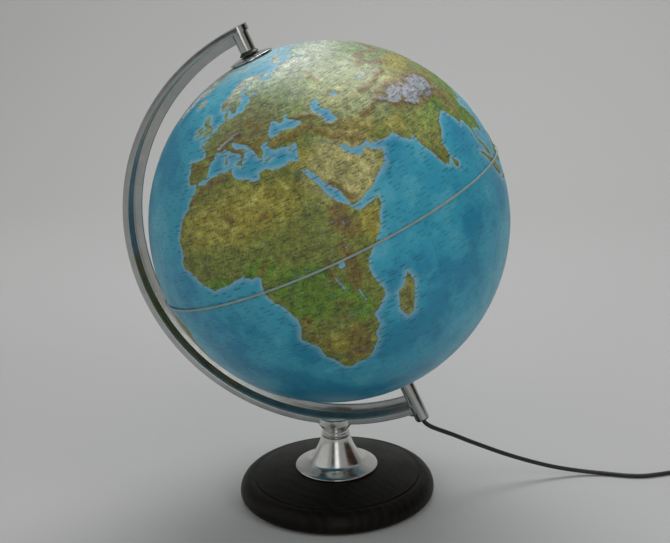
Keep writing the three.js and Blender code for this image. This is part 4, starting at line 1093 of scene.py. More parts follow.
def half_shell(name, side, hole, first_ring):
    """One moulded half of the ball, from the equator to the hole at its pole. side is 1 for the north."""
    hole_angle = math.asin(hole / GLOBE_R)
    rim_angle = math.pi / 2 - 0.00015 / GLOBE_R
    outer_counts = [4 * k for k in range(first_ring, RINGS + 1)]
    outer = ring_points(np.linspace(hole_angle, rim_angle, len(outer_counts)), outer_counts)
    inner_counts = [4 * k for k in range(max(first_ring // 5, 2), RINGS // 5 + 1)]
    inner = ring_points(np.linspace(hole_angle, rim_angle, len(inner_counts)), inner_counts)
    unit = np.vstack(outer) * [1, 1, side]
    lon, lat, coast, height, river, dry, wet = map_facts(unit)
    relief = np.where(coast > 0, 0.16 + 0.75 * height * (np.abs(lat) < 58), 0) * smooth_between(coast, -0.05, 0.45)
    pole_fade = smooth_between(90 - np.abs(lat), 7.5, 9.5)
    seam_fade = smooth_between(np.abs(lat), 0.4, 1.4)
    radius = SEA_R + relief * MM * pole_fade * (0.25 + 0.75 * seam_fade)
    points = np.vstack([unit * radius[:, None], np.vstack(inner) * [1, 1, side] * (GLOBE_R - WALL)])
    starts = np.concatenate([[0], np.cumsum(outer_counts + inner_counts)])
    faces = []
    for i in range(len(outer_counts) - 1):
        faces += bridge(starts[i], outer_counts[i], starts[i + 1], outer_counts[i + 1])
    base = len(outer_counts)
    for i in range(base, base + len(inner_counts) - 1):
        faces += [f[::-1] for f in bridge(starts[i], inner_counts[i - base], starts[i + 1], inner_counts[i + 1 - base])]
    last = base + len(inner_counts) - 1
    faces += bridge(starts[base - 1], outer_counts[-1], starts[last], inner_counts[-1])
    faces += [f[::-1] for f in bridge(starts[0], outer_counts[0], starts[base], inner_counts[0])]
    faces = np.array(faces)[:, ::side]
    mesh = bpy.data.meshes.new(name)
    mesh.vertices.add(len(points))
    mesh.vertices.foreach_set("co", points.astype(np.float32).ravel())
    mesh.loops.add(3 * len(faces))
    mesh.loops.foreach_set("vertex_index", faces.astype(np.int32).ravel())
    mesh.polygons.add(len(faces))
    mesh.polygons.foreach_set("loop_start", np.arange(0, 3 * len(faces), 3, dtype=np.int32))
    mesh.update(calc_edges=True)
    mesh.validate()
    blank = len(points) - len(unit)

    def store(label, values, kind="FLOAT"):
        values = np.asarray(values, np.float32)
        if kind == "FLOAT_COLOR":
            values = np.hstack([np.clip(values, 0, 1), np.ones((len(values), 1), np.float32)])
            whole = np.vstack([values, np.full((blank, 4), 0.5, np.float32)]).ravel()
            mesh.attributes.new(label, kind, "POINT").data.foreach_set("color", whole.astype(np.float32))
        else:
            whole = np.concatenate([values, np.zeros(blank, np.float32)])
            mesh.attributes.new(label, kind, "POINT").data.foreach_set("value", whole.astype(np.float32))

    store("coast", coast)
    store("river", river)
    store("height", height)
    store("land_ink", land_ink(unit, lat, height, dry, wet), "FLOAT_COLOR")
    store("sea_ink", sea_ink(unit, coast, lat), "FLOAT_COLOR")
    mesh.transform(AXIS_FRAME)
    obj = bpy.data.objects.new(name, mesh)
    bpy.context.scene.collection.objects.link(obj)
    return obj


north_map = half_shell("northern_map_shell", 1, 0.0047, 7)
south_map = half_shell("southern_map_shell", -1, 0.0091, 13)
for shell in (north_map, south_map):
    work = bmesh.new()
    work.from_mesh(shell.data)
    cm3 = round(work.calc_volume(signed=True) * 1e6, 1)
    print(shell.name, len(shell.data.polygons), "triangles, volume", cm3, "cm3")
    work.free()

# %% [markdown]
# ## The map's print
# The shader cuts between the land and sea inks where the coast distance passes zero. Fine noise on that distance
# roughens the line. Thin ruled lines mark every fifteen degrees, a darker line follows the coast, and short broken
# dashes along the parallels stand in for place names, without being letters. The varnish on top is satin.

# %% Ruled lines and name dashes
globe_lines, ins, outs = new_group(
    "map_print",
    {"Vector": ("Vector", None), "Line Step": ("Float", 15.0), "Line Width": ("Float", 0.13),
     "Dash Row": ("Float", 1.25), "Dash Length": ("Float", 4.4), "Share": ("Float", 0.5)},
    {"Grid": "Float", "Dashes": "Float"},
)
on_ball = add(globe_lines, "Mapping", {
    "Vector": ins["Vector"], "Rotation": (0, TILT, 0),
    "Location": tuple(-(Matrix.Rotation(TILT, 3, "Y") @ GLOBE_AT)),
}).outputs[0]
unit = add(globe_lines, "VectorMath", {0: on_ball}, operation="NORMALIZE").outputs[0]
axes = add(globe_lines, "SeparateXYZ", {0: unit}).outputs
latitude = sums(globe_lines, "DEGREES", sums(globe_lines, "ARCSINE", axes["Z"]))
forward = sums(globe_lines, "MULTIPLY", axes["Y"], -1.0)
longitude = sums(globe_lines, "DEGREES", sums(globe_lines, "ARCTAN2", axes["X"], forward))
squeeze = sums(globe_lines, "COSINE", sums(globe_lines, "RADIANS", latitude))


def from_line(value, step):
    """How far a value is from the nearest multiple of step."""
    share = sums(globe_lines, "DIVIDE", value, step)
    nearest = sums(globe_lines, "ROUND", share)
    off = sums(globe_lines, "ABSOLUTE", sums(globe_lines, "SUBTRACT", share, nearest))
    return sums(globe_lines, "MULTIPLY", off, step)


shifted = sums(globe_lines, "ADD", longitude, MID_LONGITUDE)
off_meridian = sums(globe_lines, "MULTIPLY", from_line(shifted, ins["Line Step"]), squeeze)
off_grid = sums(globe_lines, "MINIMUM", from_line(latitude, ins["Line Step"]), off_meridian)
globe_lines.links.new(sums(globe_lines, "LESS_THAN", off_grid, ins["Line Width"]), outs["Grid"])
row_place = sums(globe_lines, "DIVIDE", latitude, ins["Dash Row"])
row = sums(globe_lines, "FLOOR", row_place)
row_random = add(globe_lines, "TexWhiteNoise", {"W": row}, noise_dimensions="1D").outputs["Value"]
row_middle = sums(globe_lines, "MULTIPLY", sums(globe_lines, "ADD", row, 0.5), ins["Dash Row"])
row_squeeze = sums(globe_lines, "COSINE", sums(globe_lines, "RADIANS", row_middle))
along = sums(globe_lines, "DIVIDE", sums(globe_lines, "MULTIPLY", shifted, row_squeeze), ins["Dash Length"])
along = sums(globe_lines, "ADD", along, sums(globe_lines, "MULTIPLY", row_random, 7.0))
cell = sums(globe_lines, "FLOOR", along)
pick = add(globe_lines, "CombineXYZ", {0: cell, 1: row}).outputs[0]
dice = add(globe_lines, "TexWhiteNoise", {"Vector": pick}, noise_dimensions="3D").outputs
apart = add(globe_lines, "SeparateColor", {0: dice["Color"]}).outputs
chosen = sums(globe_lines, "LESS_THAN", dice["Value"], ins["Share"])
in_cell = sums(globe_lines, "FRACT", along)
start = sums(globe_lines, "MULTIPLY", apart[0], 0.25)
stop = sums(globe_lines, "MULTIPLY_ADD", apart[1], 0.5, sums(globe_lines, "ADD", start, 0.2))
after = sums(globe_lines, "GREATER_THAN", in_cell, start)
before = sums(globe_lines, "LESS_THAN", in_cell, stop)
row_middle = sums(globe_lines, "MULTIPLY_ADD", apart[2], 0.4, 0.3)
in_row = sums(globe_lines, "SUBTRACT", sums(globe_lines, "FRACT", row_place), row_middle)
in_row = sums(globe_lines, "ABSOLUTE", in_row)
thin = sums(globe_lines, "LESS_THAN", in_row, 0.17)
strokes = add(globe_lines, "TexNoise", {
    "Vector": add(globe_lines, "CombineXYZ", {
        0: sums(globe_lines, "MULTIPLY", along, 34.0), 1: sums(globe_lines, "MULTIPLY", row_place, 7.0)}).outputs[0],
    "Scale": 1.0, "Detail": 1.0}).outputs["Fac"]
inked = sums(globe_lines, "GREATER_THAN", strokes, 0.42)
dash = inked
for mask in (chosen, after, before, thin):
    dash = sums(globe_lines, "MULTIPLY", dash, mask)
globe_lines.links.new(dash, outs["Dashes"])
print("map print nodes", len(globe_lines.nodes))

# %% The globe's material
tree, shader, where = new_material("globe_map", Coat_Weight=0.10, Coat_Roughness=0.30, Specular_IOR_Level=0.38)


def stored(name, output="Fac"):
    return add(tree, "Attribute", attribute_name=name).outputs[output]


ragged = add(tree, "TexNoise", {"Vector": where, "Scale": 420.0, "Detail": 4.0, "Roughness": 0.65}).outputs["Fac"]
shore = sums(tree, "ADD", stored("coast"), sums(tree, "MULTIPLY_ADD", ragged, 0.5, -0.25))
on_land = add(tree, "MapRange", {"Value": shore, "From Min": -0.06, "From Max": 0.06}).outputs["Result"]
coast_line = spread_over(tree, sums(tree, "ABSOLUTE", sums(tree, "ADD", shore, 0.08)), 0.20, 0.05)
near_shore = add(tree, "MapRange", {"Value": shore, "From Min": -0.75, "From Max": -0.1}).outputs["Result"]
print_marks = place_group(tree, globe_lines, {"Vector": where, "Share": 0.62})
land_marks = place_group(tree, globe_lines, {"Vector": where, "Share": 0.60})
small_marks = place_group(tree, globe_lines, {"Vector": where, "Share": 0.45, "Dash Row": 0.83, "Dash Length": 2.9})
speck = add(tree, "TexNoise", {"Vector": where, "Scale": 700.0, "Detail": 3.0, "Roughness": 0.7}).outputs["Fac"]
speck_tone = spread_over(tree, speck, 0.3, 0.7, 0.54, 1.36)
slope = add(tree, "TexNoise", {"Vector": where, "Scale": 190.0, "Detail": 5.0, "Roughness": 0.65}).outputs["Fac"]
slope_tone = spread_over(tree, slope, 0.32, 0.68, 0.60, 1.34)
land_tone = sums(tree, "MULTIPLY", speck_tone, slope_tone)
land_grey = add(tree, "CombineColor", {0: land_tone, 1: land_tone, 2: land_tone}).outputs[0]
land = blend_colours(tree, 1.0, stored("land_ink", "Color"), land_grey, "MULTIPLY")
sea_tone = spread_over(tree, speck, 0.3, 0.7, 0.88, 1.12)
sea_grey = add(tree, "CombineColor", {0: sea_tone, 1: sea_tone, 2: sea_tone}).outputs[0]
sea = blend_colours(tree, 1.0, stored("sea_ink", "Color"), sea_grey, "MULTIPLY")
sea = blend_colours(tree, sums(tree, "MULTIPLY", near_shore, 0.30), sea, (0.38, 0.60, 0.70, 1))
river_edge = sums(tree, "ADD", stored("river"), sums(tree, "MULTIPLY_ADD", ragged, 0.3, -0.15))
river_line = spread_over(tree, river_edge, 0.22, 0.10)
land = blend_colours(tree, sums(tree, "MULTIPLY", river_line, 0.6), land, (0.06, 0.20, 0.27, 1))
printed = blend_colours(tree, on_land, sea, land)
printed = blend_colours(tree, sums(tree, "MULTIPLY", coast_line, 0.30), printed, (0.07, 0.10, 0.08, 1))
grid_strength = sums(tree, "MULTIPLY", print_marks["Grid"], 0.16)
printed = blend_colours(tree, grid_strength, printed, (0.03, 0.07, 0.09, 1))
shore_zone = spread_over(tree, stored("coast"), -6.5, -2.5, 0.45)
shore_dashes = sums(tree, "MULTIPLY", print_marks["Dashes"], shore_zone)
sea_dashes = sums(tree, "MULTIPLY", shore_dashes, sums(tree, "SUBTRACT", 1.0, on_land))
all_marks = sums(tree, "MAXIMUM", land_marks["Dashes"], sums(tree, "MULTIPLY", small_marks["Dashes"], 0.7))
land_dashes = sums(tree, "MULTIPLY", all_marks, on_land)
dash_mask = sums(tree, "MULTIPLY", sums(tree, "ADD", sea_dashes, land_dashes), 0.60, clamp=True)
printed = blend_colours(tree, dash_mask, printed, (0.018, 0.030, 0.030, 1))
tree.links.new(printed, shader.inputs["Base Color"])
varnish = place_group(tree, clouds, {"Vector": where, "Scale": 60.0, "Low": 0.36, "High": 0.44})["Value"]
tree.links.new(sums(tree, "MULTIPLY_ADD", on_land, 0.10, varnish), shader.inputs["Roughness"])
rise = sums(tree, "MULTIPLY", sums(tree, "MULTIPLY", slope, on_land), sums(tree, "ADD", stored("height"), 0.25))
folds = add(tree, "Bump", {"Strength": 0.5, "Distance": 0.0012, "Height": rise})
tree.links.new(folds.outputs["Normal"], shader.inputs["Normal"])
finish_piece(north_map, "globe", "globe_map", ["northern_hemisphere"], sharp=70)
finish_piece(south_map, "globe", "globe_map", ["southern_hemisphere"], sharp=70)
print("globe material nodes", len(tree.nodes))

# %% [markdown]
# ## The equator band
# A pale strip covers the seam between the half shells and marks the equator. It is a low rounded bead, so it is
# spun from a small domed outline.

# %% Equator band
band_outline = [(150.28, -0.9), (150.55, -0.9), *arc((150.42, 0), 0.95, -62, 62, 8)[1:-1], (150.55, 0.9), (150.28, 0.9)]
band_outline = [(min(r, 150.88), z) for r, z in band_outline]
band = face_outwards(turned("equator_bead", band_outline, segments=360, place=AXIS_FRAME))
tree, shader, where = new_material("seam_tape")
ticks = place_group(tree, globe_lines, {"Vector": where, "Line Step": 5.0, "Line Width": 0.22})["Grid"]
soil = place_group(tree, clouds, {"Vector": where, "Scale": 120.0, "Low": 0.0, "High": 1.0})["Value"]
pale = blend_colours(tree, soil, (0.21, 0.30, 0.30, 1), (0.32, 0.37, 0.33, 1))
tree.links.new(pale, shader.inputs["Base Color"])
patchy_gloss = place_group(tree, clouds, {"Vector": where, "Scale": 200.0, "Low": 0.35, "High": 0.5})["Value"]
tree.links.new(patchy_gloss, shader.inputs["Roughness"])
finish_piece(band, "globe", "seam_tape", ["equator_band"])
print("band faces", len(band.data.polygons))

# %% [markdown]
# ## The meridian arm
# The real arm is a rolled bar with an angle section: a broad outer flange with a thin web along its back. The same
# section is swept round the arm's centre, a little off the globe's. Boolean steps then do what the maker's tools
# do: round the north end, weld on the boss for the pin, and wrap the south end round the lamp tube. A small bevel
# rounds the edges that are left, so that they catch light.

# %% The arm's sweep
ARM_CENTRE = Vector((5 * math.cos(TILT), 0, -5 * math.sin(TILT)))
WEB_IN, FLANGE_IN, ARM_OUT = 166.3, 174.0, 179.38
HALF = 8.5
angle_section = eased(
    [(FLANGE_IN, -HALF), (ARM_OUT, -HALF), (ARM_OUT, HALF), (WEB_IN, HALF), (WEB_IN, 5.5), (FLANGE_IN, 5.5)],
    0.75, steps=4,
)
flange_section = eased([(FLANGE_IN, -HALF), (ARM_OUT, -HALF), (ARM_OUT, HALF), (FLANGE_IN, HALF)], 0.75, steps=4)


def arm_sweep(name, section, start, end, steps):
    """Runs the section round the arm's centre between two angles, in degrees from north towards the closed side."""
    frames = []
    for a in np.radians(np.linspace(start, end, steps + 1)):
        out = Vector((-math.sin(a), 0, math.cos(a)))
        frames.append((ARM_CENTRE, out, Vector((0, 1, 0))))
    return face_outwards(swept(name, frames, section, units=1.0))


def crossing(radius, side):
    """Where a circle of the arm crosses the globe's axis."""
    return ARM_CENTRE.z + side * math.sqrt(radius**2 - ARM_CENTRE.x**2)


def rod(name, radius, low, high, segments=64, edge=0.0):
    """A plain round bar along the axis, with its end corners eased."""
    outline = [(0, low), (radius, low), (radius, high), (0, high)]
    if edge:
        outline = [(0, low)] + eased(outline, edge)[4:-4] + [(0, high)]
    return face_outwards(turned(name, outline, segments, units=1.0))


def brick(name, low, high):
    points = [(x, y, z) for x in (low[0], high[0]) for y in (low[1], high[1]) for z in (low[2], high[2])]
    faces = [(0, 1, 3, 2), (4, 6, 7, 5), (0, 4, 5, 1), (2, 3, 7, 6), (0, 2, 6, 4), (1, 5, 7, 3)]
    return face_outwards(mesh_object(name, points, faces))


FAR = 260
arm = arm_sweep("meridian_bar", angle_section, -3, 183, 248)
combined(arm, [brick("open_side", (0, -FAR, -FAR), (FAR, FAR, FAR))], "DIFFERENCE")
north_end = arm_sweep("north_end", flange_section, -4, 8, 16)
combined(north_end, [rod("rounding", HALF - 0.02, 100, FAR, 96)], "INTERSECT")
boss = rod("boss", 6.7, 156.1, crossing(ARM_OUT - 2.75, 1), 64, edge=0.5)
socket = rod("socket", 9.2, crossing(ARM_OUT, -1) - 2, crossing(FLANGE_IN, -1), 96, edge=0.5)
combined(arm, [north_end, boss, socket], "UNION")
combined(arm, [
    brick("tube_side", (-4, -FAR, -FAR), (FAR, FAR, 0)),
    rod("tube_seat", 6.6, -FAR, 0, 64), rod("pin_seat", 2.8, 0, 167.4, 32),
], "DIFFERENCE")
bevelled(arm, 0.35, segments=2, angle=50)
arm.data.transform(AXIS_FRAME @ Matrix.Scale(MM, 4))
finish_piece(face_outwards(arm), "stand", "arm_chrome", ["meridian_arm"], sharp=32)
print("arm faces", len(arm.data.polygons))

# %% [markdown]
# ## Pole fittings
# These are all lathe work: a thin domed disc on the globe, a flared collar and a pin under the arm, and at the
# south the lamp tube with its stop collar and the rubber gland for the flex. The disc follows the ball underneath.

# %% North pole fittings
def seat(r):
    return math.sqrt(150.3**2 - r**2)


def share_of(r):
    return (r - 2.8) / (18.4 - 2.8)


disc_radii = np.linspace(2.8, 18.4, 15)
disc_outline = [(r, seat(r)) for r in disc_radii]
disc_top = [(r, seat(r) + 2.4 - 1.3 * share_of(r) ** 2) for r in disc_radii[::-1]]
rim = eased([disc_outline[-1], disc_top[0], disc_top[1]], 0.5, closed=False, steps=4)[1:-1]
pole_cover = face_outwards(turned("pole_cover", [*disc_outline, *rim, *disc_top[1:]], 128, AXIS_FRAME))
finish_piece(pole_cover, "globe", "arm_chrome", ["pole_disc"])
collar_outline = [(2.8, 153), (8, 153), (8, 153.9), (7.4, 154.7), (6.3, 155.5), (6.3, 155.8), (2.8, 155.8)]
collar = face_outwards(turned("pivot_collar", eased(collar_outline, 0.25), 96, AXIS_FRAME))
finish_piece(collar, "stand", "dark_plastic", ["north_collar"])
pin_side = eased([(0, 140.1), (2.5, 140.1), (2.5, 167.1), (0, 167.1)], 0.3)
pin = face_outwards(turned("pivot_pin", pin_side, 48, AXIS_FRAME))
finish_piece(pin, "stand", "steel", ["north_pivot_pin"])
print("north fittings", [o.name for o in (pole_cover, collar, pin)])

# %% South pole fittings
tube = eased([(4.9, -190), (6.3, -190), (6.3, -128), (4.9, -128)], 0.45, steps=4)
lamp_tube = face_outwards(turned("lamp_pipe", tube, 96, AXIS_FRAME))
finish_piece(lamp_tube, "stand", "arm_chrome", ["lamp_tube"])
stop = eased([(6.6, -153.9), (8.6, -153.9), (8.6, -151.2), (6.6, -151.2)], 0.4, steps=3)
lathed("stop_ring", stop, 96, "stand", "arm_chrome", "tube_stop_collar", AXIS_FRAME)
gland = eased([
    (2.2, -191.1), (5.6, -191.1), (5.6, -190.3), (4.6, -190.3), (4.6, -188.6), (4.3, -188.2), (4.6, -187.8),
    (4.6, -186.0),
    (4.3, -185.6), (4.6, -185.2), (4.6, -183.2), (4.1, -180.3), (2.2, -180.3),
], 0.18, steps=2)
lathed("flex_gland", gland, 64, "stand", "black_rubber", "cord_gland", AXIS_FRAME)
print("south fittings ready")

# %% [markdown]
# ## The lamp inside
# Nobody sees the lamp until the ball is opened, but it is there: a holder on the tube's end, a brass cap and a
# frosted bulb. The same lathe helper makes them rounder than the CAD parts.

# %% Lamp holder, cap and bulb
holder = eased([
    (6.6, -134), (11, -134), (14, -128), (14, -89), (7.8, -89), (7.8, -116.6), (2.9, -116.6), (2.9, -127.7),
    (6.6, -127.7),
], 0.4, steps=2)
lathed("bulb_socket", holder, 96, "stand", "dark_plastic", "lamp_holder", AXIS_FRAME)
thread = []
for i in range(60):
    z = -112.8 + 22.3 * i / 59
    thread.append((6.85 + 0.32 * math.sin(2 * math.pi * (z + 112.8) / 3.6), z))
cap = [(0, -116.3), (2.8, -116.3), (4.2, -115.2), *thread, (7.1, -89.9), (7.1, -89.3), (0, -89.3)]
lathed("screw_cap", cap, 64, "stand", "brass", "bulb_cap", AXIS_FRAME, sharp=50)


def bulb_side(wall):
    neck = [(7.2 - wall, -89), (8.2 - wall, -84)]
    return [*neck, *arc((0, -55.25), 22.5 - wall, -50, 90, 40)]


inner_side = bulb_side(1.0)
bulb = [*bulb_side(0.0), *[(max(r, 0), z) for r, z in inner_side[::-1]]]
bulb = [(0 if r < 1e-6 else r, z) for r, z in bulb]
lathed("bulb_envelope", bulb, 96, "stand", "frosted_glass", "bulb_glass", AXIS_FRAME)
print("lamp ready")

# %% [markdown]
# ## The turned base and its felt
# The base is face-plate work: a bead round the rim, a fine quirk where the bead meets the top, and a low dome up to
# the foot. Its outline is the CAD outline with many more steps, so light slides over it without facets. The felt
# under it is cut a little smaller.

# %% Wooden base and felt
BEAD_MIDDLE, BEAD_TOP, BASE_LOW, BASE_TOP = 6.9, 19.5, 1.5, 26.5


def bead(degrees):
    above = degrees > 0
    inset, drop = (11.6, BEAD_TOP - BEAD_MIDDLE) if above else (5, BEAD_MIDDLE - BASE_LOW)
    a = math.radians(degrees)
    return (85 - inset + inset * math.cos(a), BEAD_MIDDLE + drop * math.sin(a))


dome = [(72 - 35.2 * s, BASE_TOP - 6.2 * (1 - s) ** 1.35) for s in np.linspace(0, 1, 22)]
base_outline = [
    (10.5, BASE_LOW), *[bead(d) for d in range(-90, 0, 6)], *[bead(d) for d in range(0, 91, 5)],
    (72.8, 19.44), (72.2, 19.36), (71.95, 19.52), (71.85, 19.9), *[(r - 0.15, z) for r, z in dome],
    (4.3, BASE_TOP), (4.3, 10.5), (10.5, 10.5),
]
base = face_outwards(turned("turned_base", base_outline, 200))
finish_piece(base, "stand", "dark_wood", ["wooden_base"], sharp=40)
felt_outline = eased([(0, 0), (77, 0), (77, 1.2), (0, 1.2)], 0.35, steps=3)[4:-4]
felt = face_outwards(turned("felt_pad", [(0, 0), (40, 0), *felt_outline, (40, 1.2), (0, 1.2)], 160))
finish_piece(felt, "stand", "felt", ["base_felt"])
print("base faces", len(base.data.polygons))

# %% [markdown]
# ## The metal foot, ring and saddle
# The foot is spun metal: a flat flange that sweeps up like the bell of a trumpet. A grooved ring sits on it, and
# the saddle above holds the arm in a slot. The slot is cut with a copy of the arm's own section, slightly larger.

# %% Foot, ring and saddle
stem = [(12.7 + 9.8 * s**1.5, 56.0 - 21.7 * s) for s in np.linspace(1, 0, 26)]
foot_outline = [
    (4.3, 26.8), *eased([(35.2, 26.8), (35.8, 27.4), (35.8, 28.4), (35.0, 29.0)], 0.5, closed=False),
    (33.0, 29.7), (30.15, 30.6), (27.4, 31.35), (24.9, 32.2), (23.4, 33.1), *stem,
    (4.3, 56.0),
]
foot = face_outwards(turned("bell_foot", foot_outline, 160))
finish_piece(foot, "stand", "stand_chrome", ["trumpet_foot"], sharp=45)
ring_outline = eased([
    (4.3, 56.3), (11.3, 56.3), (11.3, 57.3), (11.8, 57.9), (11.8, 59.4), (10.9, 60.0), (10.9, 61.7),
    (11.4, 62.5), (4.3, 62.5),
], 0.22, steps=3)
lathed("grooved_ring", ring_outline, 128, "stand", "stand_chrome", "neck_ring")
cup_outline = [
    (0, 62.8), *eased([(11.4, 62.8), (14.7, 67.04), (15.3, 68.1), (15.3, 73.5),
    (14.3, 74.5)], 0.5, closed=False, steps=3),
    (0, 74.5),
]
saddle = face_outwards(turned("saddle_cup", [(0, 62.8), *cup_outline[1:-1], (0, 74.5)], 96, units=1.0))
slot_section = eased([(WEB_IN, -8.8), (ARM_OUT + 0.3, -8.8), (ARM_OUT + 0.3, 8.8), (WEB_IN, 8.8)], 0.6, steps=3)
slot = arm_sweep("slot", slot_section, 130, 190, 120)
slot.data.transform(Matrix.Scale(1 / MM, 4) @ AXIS_FRAME @ Matrix.Scale(MM, 4))
grub_way = rod("grub_way", 2.3, 0, 30, 32)
grub_way.data.transform(Matrix.Translation((0, 0, 70.3)) @ Matrix.Rotation(math.pi / 2, 4, "X"))
bolt_way = rod("bolt_way", 4.3, 61.8, 67.3, 48)
combined(saddle, [slot, grub_way, bolt_way], "DIFFERENCE")
bevelled(saddle, 0.25, segments=2, angle=45)
saddle.data.transform(Matrix.Scale(MM, 4))
finish_piece(face_outwards(saddle), "stand", "stand_chrome", ["arm_saddle"], sharp=32)
print("saddle faces", len(saddle.data.polygons))

# %% The grub screw
grub = rod("grub_pin", 2.0, 0, 5, 48, edge=0.3)
hex_key = rod("hex_key", 1.1, 2.8, 6, 6)
combined(grub, [hex_key], "DIFFERENCE")
grub.data.transform(
    Matrix.Scale(MM, 4) @ Matrix.Translation((0, -9.1, 70.3)) @ Matrix.Rotation(math.pi / 2, 4, "X"))
finish_piece(face_outwards(grub), "stand", "steel", ["saddle_grub_screw"], sharp=30)
print("grub screw faces", len(grub.data.polygons))

# %% [markdown]
# ## The switch on the flex
# An in-line switch is two moulded halves with a rocker between them. Each half is a rounded plate, bevelled and
# hollowed by booleans. The switch has two screws from above.

# %% Switch halves and rocker
QUARTER_TURN = Matrix.Rotation(math.pi / 2, 4, "Y")  # lays what stands upright along X


def rounded_plate(name, length, width, corner, low, high):
    """A plate with rounded corners, in millimetres, between the heights low and high."""
    along, across = length / 2 - corner, width / 2 - corner
    quarters = [(along, across, 0), (-along, across, 90), (-along, -across, 180), (along, -across, 270)]
    flat = [p for x, y, a in quarters for p in arc((x, y), corner, a, a + 90, 8)]
    return slab(name, [(x, y, low) for x, y in flat], [(x, y, high) for x, y in flat])


def flex_entries():
    """The two cutters for the ways by which the flex enters the switch."""
    return [
        moved(rod("entry", 2.2, 0, 6, 32), Matrix.Translation((side * 28 - 3, 0, 7)) @ QUARTER_TURN) for side in (-1, 1)
    ]


SWITCH_AT = Matrix.Translation((360, 63, 0))
SCREWS_AT = (-19, 19)  # along the switch, from its middle
lower = rounded_plate("switch_lower", 60, 26, 8, 0, 7)
bevelled(lower, 0.9, segments=3, angle=60)
entries = flex_entries()
pocket = brick("pocket", (-13, -9, 2), (13, 9, 30))
screw_ways = [moved(rod("screw_way", 1.7, 3, 12, 32), Matrix.Translation((x, 0, 0))) for x in SCREWS_AT]
combined(lower, [pocket, *entries, *screw_ways], "DIFFERENCE")
lower.data.transform(Matrix.Scale(MM, 4) @ SWITCH_AT)
finish_piece(face_outwards(lower), "stand", "black_plastic", ["switch_base"], sharp=35)
upper = rounded_plate("switch_upper", 60, 26, 8, 7.3, 16.3)
bevelled(upper, 1.6, segments=4, angle=60)
opening = brick("opening", (-8.86, -4.8, 0), (8.86, 4.8, 30))
cuts = [opening, *flex_entries()]
for x in SCREWS_AT:
    for radius, low in ((1.7, 0), (2.5, 14.4)):
        cuts.append(moved(rod("way", radius, low, 30, 32), Matrix.Translation((x, 0, 0))))
combined(upper, cuts, "DIFFERENCE")
bevelled(upper, 0.2, segments=1, angle=60)
upper.data.transform(Matrix.Scale(MM, 4) @ SWITCH_AT)
finish_piece(face_outwards(upper), "stand", "black_plastic", ["switch_cover"], sharp=35)
rocker_side = eased([(-7.5, -1.2), (7.5, -1.2), (7.5, 6), (0, 4.6), (-7.5, 6)], 0.5, steps=3)
rocker = slab("switch_button", *([(x, y, z) for x, z in rocker_side] for y in (-4.5, 4.5)))
bevelled(rocker, 0.35, segments=3, angle=60)
rocker.data.transform(
    Matrix.Scale(MM, 4) @ Matrix.Translation((360, 63, 11.3)) @ Matrix.Rotation(math.radians(-8), 4, "Y"))
finish_piece(face_outwards(rocker), "rocker", "white_plastic", ["switch_rocker"], sharp=35)
print("switch pieces", [o.name for o in (lower, upper, rocker)])

# %% [markdown]
# ## Screws by Geometry Nodes
# The two switch screws are the same screw, so one node tree makes the screw and puts it at each place. Its sizes are
# named inputs. The tree sits on a mesh of one point, where the screw goes, and ends by making its copy real.
# A cross slot is two bars cut out of the head.

# %% Node tree helpers and the screw tree
def geometry_tree(name, inputs):
    """A geometry tree with named inputs of (socket kind, default). Returns the tree, its inputs and its output."""
    tree = bpy.data.node_groups.new(name, "GeometryNodeTree")
    tree.interface.new_socket("Geometry", in_out="INPUT", socket_type="NodeSocketGeometry")
    tree.interface.new_socket("Geometry", in_out="OUTPUT", socket_type="NodeSocketGeometry")
    for label, (kind, value) in inputs.items():
        socket = tree.interface.new_socket(label, in_out="INPUT", socket_type="NodeSocket" + kind)
        if value is not None:
            socket.default_value = value
    return tree, tree.nodes.new("NodeGroupInput").outputs, tree.nodes.new("NodeGroupOutput").inputs[0]


def made_real(tree, copies, ins, out):
    """Ends a tree: makes the copies real and gives them the tree's material."""
    real = add(tree, "GeometryNodeRealizeInstances", {"Geometry": copies})
    painted = add(tree, "GeometryNodeSetMaterial", {"Geometry": real.outputs[0], "Material": ins["Material"]})
    tree.links.new(painted.outputs[0], out)


def grown(obj, tree, values):
    """Puts a geometry tree on obj with values for its named inputs, and turns the result into a plain mesh."""
    step = obj.modifiers.new(tree.name, "NODES")
    step.node_group = tree
    for item in tree.interface.items_tree:
        if item.in_out == "INPUT" and item.name in values:
            step[item.identifier] = values[item.name]
    return applied(obj)


screw_tree, ins, out = geometry_tree("cross_screws", {
    "Head Radius": ("Float", 0.0022), "Head Height": ("Float", 0.0014), "Shank Radius": ("Float", 0.0014),
    "Shank Length": ("Float", 0.011), "Slot Width": ("Float", 0.0006), "Material": ("Material", None),
})
head = add(screw_tree, "GeometryNodeMeshCylinder", {
    "Vertices": 48, "Radius": ins["Head Radius"], "Depth": ins["Head Height"]}).outputs["Mesh"]
half_head = add(screw_tree, "Math", {0: ins["Head Height"], 1: 0.5}, operation="MULTIPLY").outputs[0]
top = add(screw_tree, "CombineXYZ", {2: half_head}).outputs[0]
long_slot = add(screw_tree, "Math", {0: ins["Head Radius"], 1: 1.25}, operation="MULTIPLY").outputs[0]
bar_size = add(screw_tree, "CombineXYZ", {0: long_slot, 1: ins["Slot Width"], 2: ins["Head Height"]}).outputs[0]
bar = add(screw_tree, "GeometryNodeMeshCube", {"Size": bar_size}).outputs["Mesh"]
bar_up = add(screw_tree, "GeometryNodeTransform", {"Geometry": bar, "Translation": top}).outputs[0]
quarter_turned = {"Geometry": bar_up, "Rotation": (0, 0, math.pi / 2)}
bar_across = add(screw_tree, "GeometryNodeTransform", quarter_turned).outputs[0]
slotted = add(screw_tree, "GeometryNodeMeshBoolean", {"Mesh 1": head}, operation="DIFFERENCE")
for bar_end in (bar_up, bar_across):
    screw_tree.links.new(bar_end, slotted.inputs["Mesh 2"])
